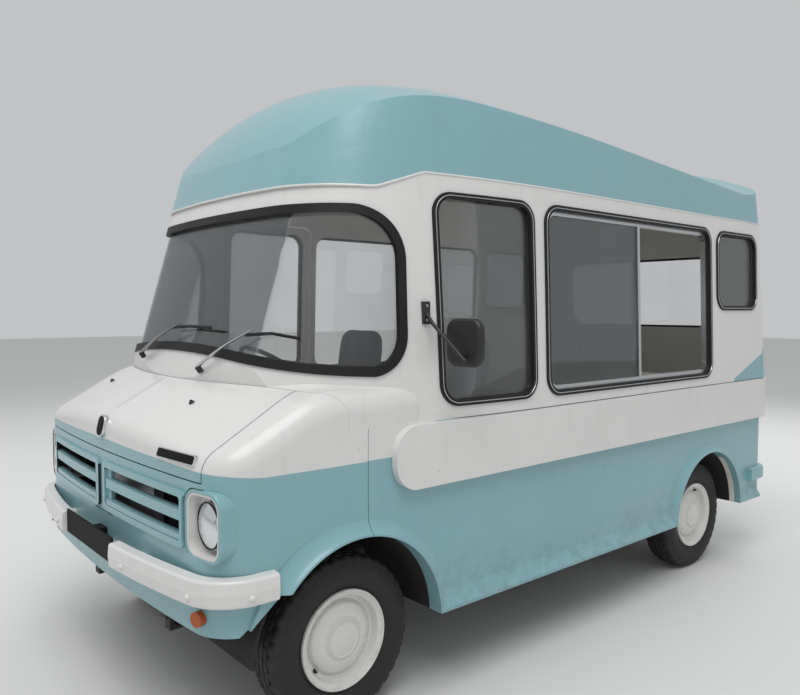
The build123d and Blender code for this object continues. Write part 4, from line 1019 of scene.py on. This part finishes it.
for side, sign in (("left", 1), ("right", -1)):
    for part, (y, z, *shape) in (("squab", SQUAB), ("back", BACK)):
        pad = cushion(f"{side}_seat_{part}", (sign * SEAT_X, fy(y), z), *shape)
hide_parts("seats")

# Instruments, pedals and gear lever
DIAL_X, DIAL_Y, DIAL_Z = (-0.470, -0.350), fy(72), 1.262
DIAL_RING = [(-0.004, 0.040), (0.004, 0.040), (0.005, 0.036), (0.001, 0.035)]
DIAL_FACE = [(-0.002, 0.034), (0.0015, 0.034), (0.0017, 0.001)]
for name, profile, material in (("dial_rings", DIAL_RING, chrome), ("dial_faces", DIAL_FACE, dial_white)):
    bm = bmesh.new()
    for x in DIAL_X:
        add_lathe(bm, profile, (x, DIAL_Y, DIAL_Z), (0, 1, 0), 32)
    finish_mesh(bm, name, material, "body", "interior_grey")
bm = bmesh.new()
for x in (-0.500, -0.400, -0.280):
    add_tube(bm, [(x, fy(-70), 0.860), (x, fy(-10), 0.740), (x, fy(60), 0.690)], 0.008, 8)
    add_pad(bm, (x, fy(58), 0.694), (1, 0, 0), (0, 0.45, -0.89), 0.030, 0.034, 0.010, 0.008)
finish_mesh(bm, "pedals", black_plastic, "body", "interior_grey")
KNOB_PROFILE = [(-0.018, 0.003), (-0.014, 0.014), (0.0, 0.019), (0.014, 0.014), (0.018, 0.003)]
LEVER_POINTS = [(0.0, fy(160), 1.035), (0.0, fy(185), 1.160), (-0.010, fy(240), 1.300)]
bm = bmesh.new()
add_tube(bm, LEVER_POINTS, [0.009, 0.007, 0.006], 10)
add_lathe(bm, KNOB_PROFILE, (-0.010, fy(242), 1.306), (0, 0.35, 0.94), 20)
finish_mesh(bm, "gear_lever", black_plastic, "body", "interior_grey")

# Counter and cabinet: doors, handles and the worktop. Doors: where each starts, its length, and where its
# handle is, in millimetres behind the front axle or behind the door's start
COUNTER_DOORS, COUNTER_DOOR_LENGTH = [(1225, 430), (1720, 430), (2215, 430)], 475
CABINET_DOORS, CABINET_DOOR_LENGTH = [(2248, 505), (2823, 50)], 555


def build_doors(name, doors, length, x_range, z_range, handle_x, handle_z):
    """A row of flat doors, and the bent handles on them."""
    bm = bmesh.new()
    for start, _ in doors:
        low = (x_range[0], fy(start), z_range[0])
        high = (x_range[1], fy(start + length), z_range[1])
        add_block(bm, low, high, 0.004)
    finish_mesh(bm, f"{name}_doors", cabinet_cream, "body", "cabinet_cream")
    bm = bmesh.new()
    foot, grip = handle_x
    bottom, top = handle_z
    for start, handle in doors:
        y = fy(start + handle)
        bend = [(foot, y, bottom), (grip, y, bottom + 0.005), (grip, y, top - 0.005), (foot, y, top)]
        add_tube(bm, bend, 0.0055, 8)
    finish_mesh(bm, f"{name}_handles", aluminium, "body", "bright_frame")


build_doors("counter", COUNTER_DOORS, COUNTER_DOOR_LENGTH, (0.546, 0.560), (0.640, 1.125), (0.548, 0.530),
            (0.960, 1.060))
build_doors("cabinet", CABINET_DOORS, CABINET_DOOR_LENGTH, (-0.4799, -0.466), (0.800, 1.515),
            (-0.468, -0.448), (1.130, 1.250))
bm = bmesh.new()
add_block(bm, (0.516, fy(1186), 1.184), (0.922, fy(2734), 1.190), 0.002)
finish_mesh(bm, "counter_worktop", worktop, "body", "cabinet_cream")

# Pale floor and soft studio light
floor_mesh = bpy.data.meshes.new("studio_floor")
reach = 40
floor_corners = [(-reach, -reach, 0), (reach, -reach, 0), (reach, reach, 0), (-reach, reach, 0)]
floor_mesh.from_pydata(floor_corners, [], [(0, 1, 2, 3)])
floor_tree = Tree("studio_floor")
pale = floor_tree.mix(floor_tree.noise(0.8), (0.70, 0.70, 0.69), (0.73, 0.73, 0.72))
floor_tree.set(Base_Color=pale, Roughness=0.9)
floor_mesh.materials.append(floor_tree.material)
studio_floor = bpy.data.objects.new("studio_floor", floor_mesh)
bpy.context.scene.collection.objects.link(studio_floor)

world = bpy.data.worlds.new("studio")
world.use_nodes = True
background = world.node_tree.nodes["Background"]
background.inputs["Color"].default_value = (0.86, 0.88, 0.90, 1)
background.inputs["Strength"].default_value = 0.62
bpy.context.scene.world = world
bpy.context.scene.view_settings.view_transform = "Standard"

# Columns: name, place, target, size, watts
lights = [
    ("key", (3.5, -3.5, 9.0), (0, 0, 1.0), 7.0, 420),
    ("fill", (-6.5, -4.0, 6.0), (0, 0, 1.0), 6.0, 140),
    ("back", (0.0, 7.5, 6.0), (0, 0.5, 1.2), 5.0, 200),
]
for name, place, target, size, watts in lights:
    light_data = bpy.data.lights.new(name, "AREA")
    light_data.shape = "DISK"
    light_data.size = size
    light_data.energy = watts
    light = bpy.data.objects.new(name, light_data)
    light.visible_glossy = name == "key"
    light.location = place
    light.rotation_euler = (Vector(target) - Vector(place)).to_track_quat("-Z", "Y").to_euler()
    bpy.context.scene.collection.objects.link(light)
